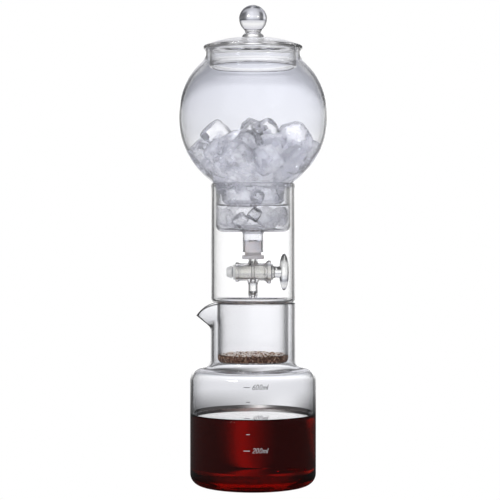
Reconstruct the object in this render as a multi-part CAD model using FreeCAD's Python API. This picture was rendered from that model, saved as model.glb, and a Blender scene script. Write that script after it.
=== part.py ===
import FreeCAD, Part
import os
from math import pi, sin, cos, tan, acos, sqrt, radians

V = FreeCAD.Vector
os.makedirs("parts", exist_ok=True)

# ---------------------------------------------------------------------------
# Cold drip coffee tower.  Millimetres, +Z up, origin at the centre of the
# base plane.  The spout points along -X and the stopcock handle along +X.
# Every vessel is turned about the Z axis.
# ---------------------------------------------------------------------------

# --- carafe (600 ml graduated vessel) ---
CAR_R = 52.0            # outer radius of the body
CAR_WALL = 2.1
CAR_FLOOR = 3.0         # floor thickness at the middle
CAR_PUNT = 1.2          # pushed-up middle of the base
CAR_FOOT_R = 42.5       # outer radius of the ring it stands on
CAR_FOOT_IN = 35.0      # inner radius of that ring
CAR_CORNER = CAR_R - CAR_FOOT_R
CAR_SH_Z = 86.3         # where the side wall starts to turn in
CAR_SH_R = 10.9         # shoulder radius
CAR_FIL = 6.5           # fillet from the shoulder into the neck
NECK_R = 35.0
NECK_WALL = 2.2
NECK_TOP = 151.0
SPLIT_BASE = 13.0       # the body's floor, wall, shoulder and neck meet here
SPLIT_WALL = CAR_SH_Z

# --- spout: a pointed beak pulled out of the neck wall ---
SP_TIP_X = 47.4         # reach of the beak's tip from the axis
SP_TIP_Z = 140.2
SP_ROOT_Z = 130.2       # where the keel leaves the neck wall
SP_NOSE = 1.7           # rounding of the keel, outside
SP_WALL = 3.0           # wall along X at the keel

# --- printed scale on the front of the carafe ---
MARK_Z = (34.6, 47.7, 60.6, 73.5, 85.2)
MARK_LONG = 5.0
MARK_SHORT = 3.0
MARK_X0 = -7.6
MARK_H = 0.55
MARK_T = 0.10

# --- brew column with the filter cup below it (one stepped glass) ---
COL_R = 34.9
COL_WALL = 2.2
COL_TOP = 249.0
COL_CORNER = 4.0        # rounded lower edge that nests on the carafe's rim
COL_CORNER_Z = 154.4
CUP_R = 29.35
CUP_WALL = 2.2
CUP_BOT = 100.6
CUP_CORNER = 5.0
CUP_FLOOR = 2.2
DRAIN_R = 1.1           # drain holes in the cup's floor: 1 + 6 + 12
DRAIN_RINGS = ((0.0, 1), (8.0, 6), (16.0, 12))

# --- filter disc on the cup's floor ---
FIL_R = 25.0
FIL_T = 0.6
FIL_RING_W = 1.6
FIL_RING_T = 1.4

# --- globe (ice vessel) ---
GL_WALL = 2.0
GL_NECK_R = 39.7
GL_TOP = 359.0
# outer profile of the blown bulb, radius and height, from the neck down
GL_PROFILE = ((39.7, 353.2), (41.1, 350.0), (43.7, 347.2), (47.2, 343.6),
              (51.1, 338.7), (54.1, 333.7), (57.5, 326.3), (59.9, 318.8),
              (61.3, 311.4), (61.8, 304.2), (61.35, 296.5), (59.55, 286.6),
              (55.9, 276.7), (50.1, 266.7), (44.1, 259.2), (38.9, 254.2),
              (36.2, 251.9), (34.3, 250.35), (32.7, 248.9), (31.6, 247.1),
              (30.95, 244.8), (30.7, 242.0))
GC_R = 30.7             # lower cup of the globe, hanging in the column
GC_WALL = 2.0
GC_BOT = 209.0
GC_CORNER = 5.4
GC_FLOOR = 2.4
ST_R = 8.6              # outlet stub below the cup
ST_IN = 7.0
ST_BOT = 192.3

# --- silicone stopper that seals the stopcock into the stub ---
SI_TOP = 201.4
SI_NECK_R = 6.8
SI_FL_R = 9.1
SI_FL_TOP = 189.7
SI_BOT = 186.5

# --- stopcock ---
VZ = 175.8              # height of the key's axis
BAR_X0, BAR_X1 = -14.5, 14.9
BAR_R = 7.2
BAR_FL_L = 8.1
BAR_FL_R = 9.6
KEY_R0, KEY_R1 = 4.7, 5.6   # tapered seat, small end and large end
KEY_CLEAR = 0.05
KEY_BORE = 1.5
IN_R, IN_BORE = 3.5, 1.7
IN_TOP = 202.4
DT_R, DT_BORE = 4.0, 2.8
DT_TIP = 153.7
DT_TIP_BORE = 1.2
TAIL_R = 2.6
HANDLE_A = (4.05, 5.6, 15.15)   # semi-axes of the handle
HANDLE_X = 25.65

# --- lid ---
LID_R = 41.0
LID_GAP = 0.3
LID_T = 2.0
LID_BEAD = 1.6
LID_RISE = 6.6
SKIRT_R = 36.1
SKIRT_WALL = 1.9
SKIRT_BOT = 344.9
KNOB_R = 11.5
KNOB_Z = 384.6
KNOB_WAIST = 6.35
KNOB_WAIST_Z = 373.3
KNOB_FOOT = 8.9
KNOB_FOOT_TOP = 371.2


# ---------------------------------------------------------------------------
# helpers
# ---------------------------------------------------------------------------
def pt(p):
    return V(p[0], 0, p[1])


def profile(start, segs, spin="Z", deg=360.0):
    """Closed profile of lines ('L', p), arcs ('A', mid, end) and splines
    ('S', [points]) turned about the Z axis, or about X at the key's height."""
    edges = []
    cur = start
    for s in segs:
        if s[0] == "L":
            nxt = s[1]
            if (pt(cur) - pt(nxt)).Length > 1e-6:
                edges.append(Part.makeLine(pt(cur), pt(nxt)))
        elif s[0] == "A":
            nxt = s[2]
            edges.append(Part.Arc(pt(cur), pt(s[1]), pt(nxt)).toShape())
        elif s[0] == "S":
            pts = [pt(cur)] + [pt(q) for q in s[1]]
            bs = Part.BSplineCurve()
            bs.interpolate(pts)
            edges.append(bs.toShape())
            nxt = s[1][-1]
        elif s[0] == "E":
            edges.append(s[1])
            nxt = s[2]
        cur = nxt
    if (pt(cur) - pt(start)).Length > 1e-6:
        edges.append(Part.makeLine(pt(cur), pt(start)))
    wire = Part.Wire(edges)
    face = Part.Face(wire)
    if spin == "Z":
        solid = face.revolve(V(0, 0, 0), V(0, 0, 1), deg)
    else:
        solid = face.revolve(V(0, 0, VZ), V(1, 0, 0), deg)
    if solid.ShapeType != "Solid":
        solid = solid.Solids[0]
    if solid.Volume < 0:
        solid.reverse()
    return solid


def arc_mid(c, r, a0, a1):
    a = radians((a0 + a1) / 2.0)
    return (c[0] + r * cos(a), c[1] + r * sin(a))


def arc(c, r, a0, a1):
    """Arc segment about c from angle a0 to a1 in degrees."""
    e = radians(a1)
    return ("A", arc_mid(c, r, a0, a1), (c[0] + r * cos(e), c[1] + r * sin(e)))


def cyl(r, z0, z1, x=0, y=0):
    return Part.makeCylinder(r, z1 - z0, V(x, y, z0), V(0, 0, 1))


def slab(z0, z1, half=90):
    return Part.makeBox(2 * half, 2 * half, z1 - z0, V(-half, -half, z0))


def one(shape):
    """A single clean solid out of a boolean result."""
    shape = shape.removeSplitter()
    s = sorted(shape.Solids, key=lambda q: -q.Volume)
    return s[0]


nodes = {}


def put(name, shape):
    nodes[name] = shape


# ---------------------------------------------------------------------------
# carafe
# ---------------------------------------------------------------------------
sh_c = (CAR_R - CAR_SH_R, CAR_SH_Z)
sh_top = CAR_SH_Z + CAR_SH_R
fil_c = (NECK_R + CAR_FIL, sh_top + CAR_FIL)
NECK_Z0 = sh_top + CAR_FIL
ri = CAR_R - CAR_WALL
floor_z = CAR_FLOOR + CAR_PUNT
in_corner = 7.0

outer = [
    ("L", (CAR_FOOT_IN - 6.0, CAR_PUNT)),
    ("S", [(CAR_FOOT_IN - 3.0, CAR_PUNT * 0.5), (CAR_FOOT_IN, 0.0)]),
    ("L", (CAR_FOOT_R, 0.0)),
    arc((CAR_FOOT_R, CAR_CORNER), CAR_CORNER, -90, 0),
    ("L", (CAR_R, CAR_SH_Z)),
    arc(sh_c, CAR_SH_R, 0, 90),
    ("L", (fil_c[0], sh_top)),
    arc(fil_c, CAR_FIL, 270, 180),
]
inner = [
    ("L", (NECK_R - NECK_WALL, NECK_Z0)),
    arc(fil_c, CAR_FIL + NECK_WALL, 180, 270),
    ("L", (sh_c[0], sh_top - NECK_WALL)),
    ("S", [(sh_c[0] + (CAR_SH_R - CAR_WALL) * 0.42, CAR_SH_Z + (CAR_SH_R - CAR_WALL) * 0.895),
           (sh_c[0] + (CAR_SH_R - CAR_WALL) * 0.72, CAR_SH_Z + (CAR_SH_R - CAR_WALL) * 0.695),
           (sh_c[0] + (CAR_SH_R - CAR_WALL) * 0.93, CAR_SH_Z + (CAR_SH_R - CAR_WALL) * 0.37),
           (ri, CAR_SH_Z)]),
    ("L", (ri, floor_z - 0.5 + in_corner)),
    arc((ri - in_corner, floor_z - 0.5 + in_corner), in_corner, 0, -90),
    ("S", [(CAR_FOOT_IN - 3.0, floor_z - 0.25), (CAR_FOOT_IN - 8.0, floor_z)]),
    ("L", (0.0, floor_z)),
]
carafe_bowl = profile((0.0, CAR_PUNT), outer + inner)

put("carafe_base", one(carafe_bowl.common(slab(-5, SPLIT_BASE))))
put("carafe_wall", one(carafe_bowl.common(slab(SPLIT_BASE, SPLIT_WALL))))
put("carafe_shoulder", one(carafe_bowl.common(slab(SPLIT_WALL, NECK_Z0 + 5))))


def teardrop(z, big, reach, nose):
    """Circle of radius big with a rounded beak that reaches out along -X."""
    c = reach - nose
    a = acos((big - nose) / c)
    t1 = V(-big * cos(a), big * sin(a), z)
    t2 = V(-big * cos(a), -big * sin(a), z)
    n1 = V(-c - nose * cos(a), nose * sin(a), z)
    n2 = V(-c - nose * cos(a), -nose * sin(a), z)
    return Part.Wire([
        Part.Arc(t2, V(big, 0, z), t1).toShape(),
        Part.makeLine(t1, n1),
        Part.Arc(n1, V(-c - nose, 0, z), n2).toShape(),
        Part.makeLine(n2, t2),
    ])


SP_SLOPE = (SP_TIP_X - NECK_R) / (SP_TIP_Z - SP_ROOT_Z)


def reach_at(z):
    return NECK_R + (z - SP_ROOT_Z) * SP_SLOPE


# the beak's round part lies inside the neck's wall, so only its flanks and keel stand out
zs_out = [SP_ROOT_Z, 134.0, 138.0, 142.0, 147.0, 151.5]
beak_out = Part.makeLoft([teardrop(z, NECK_R - 1.0, reach_at(z), SP_NOSE) for z in zs_out], True, True)
rin = NECK_R - NECK_WALL
zs_in = [131.8, 134.0, 138.0, 142.0, 147.0, 152.5]
beak_in = Part.makeLoft([teardrop(z, rin - 1.0, reach_at(z) - SP_WALL, 0.8) for z in zs_in], True, True)
neck = cyl(NECK_R, NECK_Z0, NECK_TOP).fuse(beak_out)
neck = neck.cut(cyl(rin, NECK_Z0 - 1, 155)).cut(beak_in)
# the rim stays level round the neck and droops in a soft curve to the tip
rim_curve = Part.BSplineCurve()
rim_curve.interpolate([V(-27.0, 0, 151.0), V(-31.0, 0, 150.45), V(-39.6, 0, 147.6),
                       V(-43.7, 0, 145.0), V(-47.4, 0, 141.6), V(-56.0, 0, 133.0)])
cut_wire = Part.Wire([
    rim_curve.toShape(),
    Part.makeLine(V(-56.0, 0, 133.0), V(-80, 0, 133.0)),
    Part.makeLine(V(-80, 0, 133.0), V(-80, 0, 170)),
    Part.makeLine(V(-80, 0, 170), V(-27.0, 0, 170)),
    Part.makeLine(V(-27.0, 0, 170), V(-27.0, 0, 151.0)),
])
cut_face = Part.Face(cut_wire)
cut_face.translate(V(0, -60, 0))
droop = cut_face.extrude(V(0, 120, 0))
neck = neck.cut(droop).cut(slab(NECK_TOP, 175))
# round the rim into a bead
rb = NECK_WALL / 2.0
rim_z = NECK_TOP - rb
shave = profile((rin - 0.01, rim_z), [
    ("A", (rin + rb * (1 - 0.7071), rim_z + rb * 0.7071), (rin + rb, NECK_TOP)),
    ("A", (NECK_R - rb * (1 - 0.7071), rim_z + rb * 0.7071), (NECK_R + 0.01, rim_z)),
    ("L", (NECK_R + 0.01, NECK_TOP + 1.0)),
    ("L", (rin - 0.01, NECK_TOP + 1.0)),
])
neck = neck.cut(shave)
neck = one(neck)
put("carafe_neck", neck)

# printed scale: five thin dashes lying on the front wall
ticks = []
for i, z in enumerate(MARK_Z):
    w = MARK_LONG if i % 2 == 0 else MARK_SHORT
    x0 = MARK_X0 + (MARK_LONG - w)
    shell = cyl(CAR_R + MARK_T, z - MARK_H / 2, z + MARK_H / 2).cut(
        cyl(CAR_R, z - MARK_H, z + MARK_H))
    box = Part.makeBox(w, 10, MARK_H, V(x0, -CAR_R - 4, z - MARK_H / 2))
    ticks.append(one(shell.common(box)))
put("graduation_marks", Part.makeCompound(ticks))

# ---------------------------------------------------------------------------
# brew column and filter cup
# ---------------------------------------------------------------------------
cc = (COL_R - COL_CORNER, COL_CORNER_Z)
col_bot = COL_CORNER_Z - COL_CORNER
cwi = COL_R - COL_WALL
cpi = CUP_R - CUP_WALL
step_r = 1.2
bead = 1.2
bz = COL_TOP - bead
col_mid = COL_R - COL_WALL / 2.0
ic = COL_CORNER - COL_WALL
stepped = profile((cwi, bz - 2.0), [
    ("S", [(col_mid - bead + 0.02, bz - 0.6), (col_mid - bead, bz)]),
    arc((col_mid, bz), bead, 180, 0),
    ("S", [(col_mid + bead - 0.02, bz - 0.6), (COL_R, bz - 2.0)]),
    ("L", (COL_R, COL_CORNER_Z)),
    arc(cc, COL_CORNER, 0, -90),
    ("L", (CUP_R + step_r, col_bot)),
    arc((CUP_R + step_r, col_bot - step_r), step_r, 90, 180),
    ("L", (CUP_R, CUP_BOT + CUP_CORNER)),
    arc((CUP_R - CUP_CORNER, CUP_BOT + CUP_CORNER), CUP_CORNER, 0, -90),
    ("L", (0.0, CUP_BOT)),
    ("L", (0.0, CUP_BOT + CUP_FLOOR)),
    ("L", (CUP_R - CUP_CORNER, CUP_BOT + CUP_FLOOR)),
    arc((CUP_R - CUP_CORNER, CUP_BOT + CUP_CORNER), CUP_CORNER - CUP_WALL, -90, 0),
    ("L", (cpi, col_bot - step_r)),
    arc((CUP_R + step_r, col_bot - step_r), step_r + CUP_WALL, 180, 90),
    ("L", (cc[0], col_bot + COL_WALL)),
    arc(cc, ic, -90, 0),
])
for ring_r, n in DRAIN_RINGS:
    for k in range(n):
        a = 2 * pi * k / n + (0.26 if n == 12 else 0.0)
        stepped = stepped.cut(cyl(DRAIN_R, CUP_BOT - 1, CUP_BOT + CUP_FLOOR + 1,
                                  ring_r * cos(a), ring_r * sin(a)))
CUT_A = CUP_BOT + CUP_CORNER + 0.4
CUT_B = col_bot - step_r
CUT_C = COL_CORNER_Z
put("filter_cup_floor", one(stepped.common(slab(90, CUT_A))))
put("filter_cup_wall", one(stepped.common(slab(CUT_A, CUT_B))))
put("column_shoulder", one(stepped.common(slab(CUT_B, CUT_C))))
put("column_wall", one(stepped.common(slab(CUT_C, COL_TOP + 5))))

# filter disc: fine mesh sheet held in a pressed rim
fz = CUP_BOT + CUP_FLOOR + 0.3
put("filter_mesh", cyl(FIL_R - FIL_RING_W, fz + 0.4, fz + 0.4 + FIL_T))
rim = cyl(FIL_R, fz, fz + FIL_RING_T).cut(cyl(FIL_R - FIL_RING_W, fz - 1, fz + 3))
rim = rim.makeFillet(0.45, [e for e in rim.Edges if e.Length > 2 * pi * (FIL_R - 0.1)])
put("filter_rim", one(rim))

# ---------------------------------------------------------------------------
# globe
# ---------------------------------------------------------------------------
bs_out = Part.BSplineCurve()
bs_out.interpolate([pt(p) for p in GL_PROFILE], InitialTangent=V(0, 0, -1), FinalTangent=V(0, 0, -1))
n = 46
inner_pts = []
for k in range(n + 1):
    u = bs_out.FirstParameter + (bs_out.LastParameter - bs_out.FirstParameter) * k / n
    p = bs_out.value(u)
    t = bs_out.tangent(u)[0]
    nrm = V(t.z, 0, -t.x)
    nrm.normalize()
    if nrm.x > 0:
        nrm = nrm * -1
    # the wall normal points towards the axis all the way down
    q = p + nrm * GL_WALL
    inner_pts.append((q.x, q.z))
inner_pts[0] = (GL_NECK_R - GL_WALL, GL_PROFILE[0][1])
inner_pts[-1] = (GC_R - GC_WALL, GL_PROFILE[-1][1])
bs_in = Part.BSplineCurve()
bs_in.interpolate([pt(p) for p in reversed(inner_pts)], InitialTangent=V(0, 0, 1), FinalTangent=V(0, 0, 1))

gi = GC_R - GC_WALL
gn = GL_NECK_R - GL_WALL
lip = GL_WALL / 2.0
globe = profile((gn, GL_TOP - lip), [
    arc((GL_NECK_R - lip, GL_TOP - lip), lip, 180, 0),
    ("L", GL_PROFILE[0]),
    ("E", bs_out.toShape(), GL_PROFILE[-1]),
    ("L", (GC_R, GC_BOT + GC_CORNER)),
    arc((GC_R - GC_CORNER, GC_BOT + GC_CORNER), GC_CORNER, 0, -90),
    ("L", (ST_R + 1.4, GC_BOT)),
    arc((ST_R + 1.4, GC_BOT - 1.4), 1.4, 90, 180),
    ("L", (ST_R, ST_BOT + 0.5)),
    arc((ST_R - 0.5, ST_BOT + 0.5), 0.5, 0, -90),
    ("L", (ST_IN, ST_BOT)),
    ("L", (ST_IN, GC_BOT + GC_FLOOR - 1.6)),
    arc((ST_IN + 1.6, GC_BOT + GC_FLOOR - 1.6), 1.6, 180, 90),
    ("L", (GC_R - GC_CORNER, GC_BOT + GC_FLOOR)),
    ("S", [(GC_R - GC_CORNER + 1.9, GC_BOT + GC_FLOOR + 0.65),
           (gi - 0.45, GC_BOT + GC_CORNER - 1.0), (gi, GC_BOT + GC_CORNER + 0.8)]),
    ("L", inner_pts[-1]),
    ("E", bs_in.toShape(), inner_pts[0]),
])
G_A = 304.2                      # widest ring
G_B = GL_PROFILE[-1][1]
G_C = GC_BOT + GC_CORNER + 1.0
put("globe_neck", one(globe.common(slab(G_A, GL_TOP + 5))))
put("globe_seat", one(globe.common(slab(G_B, G_A))))
put("globe_cup_wall", one(globe.common(slab(G_C, G_B))))
put("globe_cup_floor", one(globe.common(slab(GC_BOT, G_C))))
put("globe_outlet", one(globe.common(slab(ST_BOT - 1, GC_BOT))))

# ---------------------------------------------------------------------------
# silicone stopper
# ---------------------------------------------------------------------------
put("silicone_stopper", profile((IN_R, SI_TOP), [
    ("L", (ST_IN - 0.6, SI_TOP)),
    ("L", (ST_IN, SI_TOP - 0.8)),
    ("L", (ST_IN, ST_BOT)),
    ("L", (SI_NECK_R, ST_BOT)),
    ("L", (SI_NECK_R, SI_FL_TOP)),
    ("L", (SI_FL_R - 0.5, SI_FL_TOP)),
    arc((SI_FL_R - 0.5, SI_FL_TOP - 0.5), 0.5, 90, 0),
    ("L", (SI_FL_R, SI_BOT + 0.5)),
    arc((SI_FL_R - 0.5, SI_BOT + 0.5), 0.5, 0, -90),
    ("L", (IN_R, SI_BOT)),
]))


# ---------------------------------------------------------------------------
# stopcock
# ---------------------------------------------------------------------------
def seat_r(x, clear=0.0):
    f = (x - BAR_X0) / (BAR_X1 - BAR_X0)
    return KEY_R0 + (KEY_R1 - KEY_R0) * f - clear


def xr(x, r):
    return (x, VZ + r)


barrel = profile(xr(BAR_X0, seat_r(BAR_X0)), [
    ("L", xr(BAR_X0, BAR_FL_L - 0.7)),
    ("A", xr(BAR_X0 + 0.2, BAR_FL_L - 0.2), xr(BAR_X0 + 0.7, BAR_FL_L)),
    ("L", xr(-12.6, BAR_FL_L)),
    ("S", [xr(-11.2, BAR_R + 0.25), xr(-9.6, BAR_R)]),
    ("L", xr(9.4, BAR_R)),
    ("S", [xr(10.6, BAR_R + 0.7), xr(11.6, BAR_FL_R - 0.3), xr(12.4, BAR_FL_R)]),
    ("L", xr(BAR_X1 - 0.7, BAR_FL_R)),
    ("A", xr(BAR_X1 - 0.2, BAR_FL_R - 0.2), xr(BAR_X1, BAR_FL_R - 0.7)),
    ("L", xr(BAR_X1, seat_r(BAR_X1))),
], spin="X")
barrel = barrel.cut(cyl(IN_BORE, VZ, VZ + 12)).cut(cyl(IN_BORE, VZ - 12, VZ))
put("valve_barrel", one(barrel))

core = Part.makeCylinder(BAR_R, 30, V(-15, 0, VZ), V(1, 0, 0))
inlet = profile((IN_BORE, VZ + 3), [
    ("L", (IN_R + 1.5, VZ + 3)),
    ("L", (IN_R + 1.5, VZ + BAR_R - 0.2)),
    ("S", [(IN_R + 0.45, VZ + BAR_R + 1.0), (IN_R, VZ + BAR_R + 2.4)]),
    ("L", (IN_R, IN_TOP - 0.4)),
    ("L", (IN_R - 0.4, IN_TOP)),
    ("L", (IN_BORE, IN_TOP)),
]).cut(core)
put("valve_inlet_tube", one(inlet))

drip = profile((DT_BORE, VZ - 3), [
    ("L", (DT_R + 1.6, VZ - 3)),
    ("L", (DT_R + 1.6, VZ - BAR_R + 0.2)),
    ("S", [(DT_R + 0.5, VZ - BAR_R - 1.2), (DT_R, VZ - BAR_R - 3.0)]),
    ("L", (DT_R - 0.15, DT_TIP + 3.0)),
    ("S", [(DT_R - 0.75, DT_TIP + 1.0), (DT_TIP_BORE + 0.9, DT_TIP)]),
    ("L", (DT_TIP_BORE, DT_TIP)),
    ("L", (DT_TIP_BORE, DT_TIP + 3.6)),
    ("S", [(DT_BORE - 0.55, DT_TIP + 4.5), (DT_BORE, DT_TIP + 6.2)]),
]).cut(core)
put("valve_drip_tube", one(drip))

tail_x = -20.6
key = profile(xr(tail_x, 0), [
    ("L", xr(tail_x, TAIL_R)),
    ("L", xr(BAR_X0 + 0.1, TAIL_R)),
    ("L", xr(BAR_X0 + 0.1, seat_r(BAR_X0, KEY_CLEAR))),
    ("L", xr(BAR_X1, seat_r(BAR_X1, KEY_CLEAR))),
    ("L", xr(BAR_X1 + 0.3, seat_r(BAR_X1, KEY_CLEAR))),
    ("L", xr(BAR_X1 + 0.3, 7.2)),
    ("S", [xr(BAR_X1 + 1.5, 5.5), xr(BAR_X1 + 3.2, 4.7)]),
    ("L", xr(20.0, 4.6)),
    ("S", [xr(21.6, 4.75), xr(23.6, 5.0)]),
    ("L", xr(23.6, 0)),
], spin="X")
key = key.cut(cyl(KEY_BORE, VZ - 12, VZ + 12))

ball = Part.makeSphere(1.0)
m = FreeCAD.Matrix()
m.A11, m.A22, m.A33 = HANDLE_A
handle = ball.transformGeometry(m)
handle.translate(V(HANDLE_X, 0, VZ))
handle = handle.Solids[0] if handle.ShapeType != "Solid" else handle
put("valve_handle", handle)
put("valve_key", one(key.cut(handle)))

put("key_washer", profile(xr(-16.3, TAIL_R), [
    ("L", xr(-16.3, 6.1)), ("L", xr(-16.1, 6.3)), ("L", xr(-15.0, 6.3)),
    ("L", xr(-14.8, 6.1)), ("L", xr(-14.8, TAIL_R))], spin="X"))
put("key_o_ring", profile(xr(-17.5, 3.9), [
    ("A", xr(-16.9, 4.5), xr(-16.3, 3.9)),
    ("L", xr(-16.3, TAIL_R + 0.5)),
    ("L", xr(-16.5, TAIL_R)), ("L", xr(-17.3, TAIL_R)), ("L", xr(-17.5, TAIL_R + 0.5))], spin="X"))
put("key_retaining_cap", profile(xr(-22.0, 0), [
    ("L", xr(-22.0, 2.9)),
    ("A", xr(-21.75, 3.6), xr(-21.2, 3.95)),
    ("L", xr(-18.1, 5.15)),
    ("A", xr(-17.65, 5.2), xr(-17.5, 4.9)),
    ("L", xr(-17.5, TAIL_R)),
    ("L", xr(tail_x, TAIL_R)),
    ("L", xr(tail_x, 0))], spin="X"))

# ---------------------------------------------------------------------------
# lid
# ---------------------------------------------------------------------------
z0 = GL_TOP + LID_GAP
bc = (LID_R - LID_BEAD, z0 + LID_BEAD)
top_c = z0 + 1.2 + LID_RISE
plate = profile((0.0, top_c), [
    ("L", (0.0, top_c + LID_T)),
    ("S", [(12.0, top_c + LID_T - 0.45), (22.0, top_c + LID_T - 1.75),
           (31.0, top_c + LID_T - 3.8), (bc[0] - 1.0, bc[1] + LID_BEAD - 0.05)]),
    ("A", (LID_R - 0.1, bc[1] + 0.55), (bc[0], z0)),
    ("L", (SKIRT_R - SKIRT_WALL, z0)),
    ("S", [(30.0, z0 + 1.45), (22.0, top_c - 1.6), (12.0, top_c - 0.4), (0.0, top_c)]),
])
put("lid_plate", plate)
sb = SKIRT_WALL / 2.0 + 0.25
skirt = profile((SKIRT_R - SKIRT_WALL, z0), [
    ("L", (SKIRT_R - SKIRT_WALL, SKIRT_BOT + 3.0)),
    ("S", [(SKIRT_R - 2 * sb - 0.05, SKIRT_BOT + sb + 0.2), (SKIRT_R - sb, SKIRT_BOT)]),
    ("S", [(SKIRT_R, SKIRT_BOT + sb), (SKIRT_R, SKIRT_BOT + 3.0)]),
    ("L", (SKIRT_R, z0)),
])
put("lid_skirt", skirt)

kz = KNOB_Z
wa = sqrt(KNOB_R ** 2 - KNOB_WAIST ** 2)
knob = profile((0.0, top_c + 0.6), [
    ("L", (KNOB_FOOT + 0.3, top_c + 0.6)),
    ("L", (KNOB_FOOT + 0.3, top_c + LID_T - 0.2)),
    ("S", [(KNOB_FOOT, top_c + LID_T + 0.7), (KNOB_FOOT - 0.2, KNOB_FOOT_TOP)]),
    ("S", [(KNOB_FOOT - 1.0, KNOB_FOOT_TOP + 0.9), (KNOB_WAIST + 0.1, KNOB_WAIST_Z)]),
    ("S", [(KNOB_WAIST + 0.45, KNOB_WAIST_Z + 1.2), (sqrt(KNOB_R ** 2 - (kz - 375.9) ** 2), 375.9)]),
    ("A", (KNOB_R, kz), (0.0, kz + KNOB_R)),
])
put("lid_knob", one(knob.cut(plate)))

for name, shape in nodes.items():
    shape.exportStep("parts/%s.step" % name)
    bb = shape.BoundBox
    print("%-20s solids %d valid %s vol %9.2f  x %7.2f %7.2f  y %7.2f %7.2f  z %7.2f %7.2f" % (
        name, len(shape.Solids), shape.isValid(), shape.Volume,
        bb.XMin, bb.XMax, bb.YMin, bb.YMax, bb.ZMin, bb.ZMax))
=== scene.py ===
import math
import random

import bmesh
import bpy
import numpy as np
from mathutils import Matrix, Vector, noise


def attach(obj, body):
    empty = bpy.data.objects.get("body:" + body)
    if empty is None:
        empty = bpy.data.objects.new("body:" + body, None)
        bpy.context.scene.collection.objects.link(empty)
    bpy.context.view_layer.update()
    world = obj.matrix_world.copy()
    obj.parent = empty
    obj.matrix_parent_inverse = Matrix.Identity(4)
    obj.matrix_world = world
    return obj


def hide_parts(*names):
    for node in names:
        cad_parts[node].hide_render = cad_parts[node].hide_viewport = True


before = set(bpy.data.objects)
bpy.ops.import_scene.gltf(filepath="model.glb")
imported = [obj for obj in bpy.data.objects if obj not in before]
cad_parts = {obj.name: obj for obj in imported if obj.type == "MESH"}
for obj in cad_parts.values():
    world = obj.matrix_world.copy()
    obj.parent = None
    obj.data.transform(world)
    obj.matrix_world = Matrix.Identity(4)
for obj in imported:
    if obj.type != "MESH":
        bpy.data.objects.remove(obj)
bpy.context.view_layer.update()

MM = 0.001
scene = bpy.context.scene
pi = math.pi

# ---------------------------------------------------------------------------
# camera: 115 mm lens, 1.32 m away, at the height of the column
# ---------------------------------------------------------------------------
cam_data = bpy.data.cameras.new("camera")
cam_data.lens = 115.2
cam_data.sensor_width = 36.0
cam_data.clip_start = 0.01
cam_data.clip_end = 50.0
cam = bpy.data.objects.new("camera", cam_data)
cam.location = (-0.0025, -1.3226, 0.2105)
cam.rotation_euler = (math.radians(90.0 - 0.716), 0.0, 0.0)
scene.collection.objects.link(cam)
scene.camera = cam

scene.view_settings.view_transform = "Standard"
scene.view_settings.look = "None"
scene.cycles.max_bounces = 48
scene.cycles.transmission_bounces = 36
scene.cycles.glossy_bounces = 36
scene.cycles.diffuse_bounces = 16
scene.cycles.transparent_max_bounces = 24
scene.cycles.volume_bounces = 0
scene.cycles.caustics_refractive = True
scene.cycles.caustics_reflective = True
scene.cycles.sample_clamp_indirect = 8.0
scene.cycles.use_denoising = True


# ---------------------------------------------------------------------------
# small helpers
# ---------------------------------------------------------------------------
def arc(cx, cz, r, a0, a1, n=10, rz=None):
    """Points on an arc, angles in degrees, both ends included."""
    rz = r if rz is None else rz
    out = []
    for i in range(n + 1):
        a = math.radians(a0 + (a1 - a0) * i / n)
        out.append((cx + r * math.cos(a), cz + rz * math.sin(a)))
    return out


def spline(points, per=8, start=None, end=None):
    """Centripetal curve through the points."""
    p = [np.array(q, float) for q in points]
    first = p[0] * 2 - p[1] if start is None else p[0] - np.array(start, float)
    last = p[-1] * 2 - p[-2] if end is None else p[-1] + np.array(end, float)
    p = [first] + p + [last]
    out = []
    for i in range(1, len(p) - 2):
        p0, p1, p2, p3 = p[i - 1], p[i], p[i + 1], p[i + 2]
        t0 = 0.0
        t1 = t0 + max(np.linalg.norm(p1 - p0), 1e-9) ** 0.5
        t2 = t1 + max(np.linalg.norm(p2 - p1), 1e-9) ** 0.5
        t3 = t2 + max(np.linalg.norm(p3 - p2), 1e-9) ** 0.5
        for k in range(per):
            t = t1 + (t2 - t1) * k / per
            a1 = (t1 - t) / (t1 - t0) * p0 + (t - t0) / (t1 - t0) * p1
            a2 = (t2 - t) / (t2 - t1) * p1 + (t - t1) / (t2 - t1) * p2
            a3 = (t3 - t) / (t3 - t2) * p2 + (t - t2) / (t3 - t2) * p3
            b1 = (t2 - t) / (t2 - t0) * a1 + (t - t0) / (t2 - t0) * a2
            b2 = (t3 - t) / (t3 - t1) * a2 + (t - t1) / (t3 - t1) * a3
            out.append(tuple((t2 - t) / (t2 - t1) * b1 + (t - t1) / (t2 - t1) * b2))
    out.append(tuple(p[-2]))
    return out


def line(a, b, n):
    return [(a[0] + (b[0] - a[0]) * i / n, a[1] + (b[1] - a[1]) * i / n) for i in range(n + 1)]


def tidy(prof, eps=0.015):
    """Drops points that sit on their neighbour."""
    out = []
    for q in prof:
        if not out or math.hypot(q[0] - out[-1][0], q[1] - out[-1][1]) > eps:
            out.append((float(q[0]), float(q[1])))
    if len(out) > 2 and math.hypot(out[0][0] - out[-1][0], out[0][1] - out[-1][1]) < eps:
        out.pop()
    return out


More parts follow.
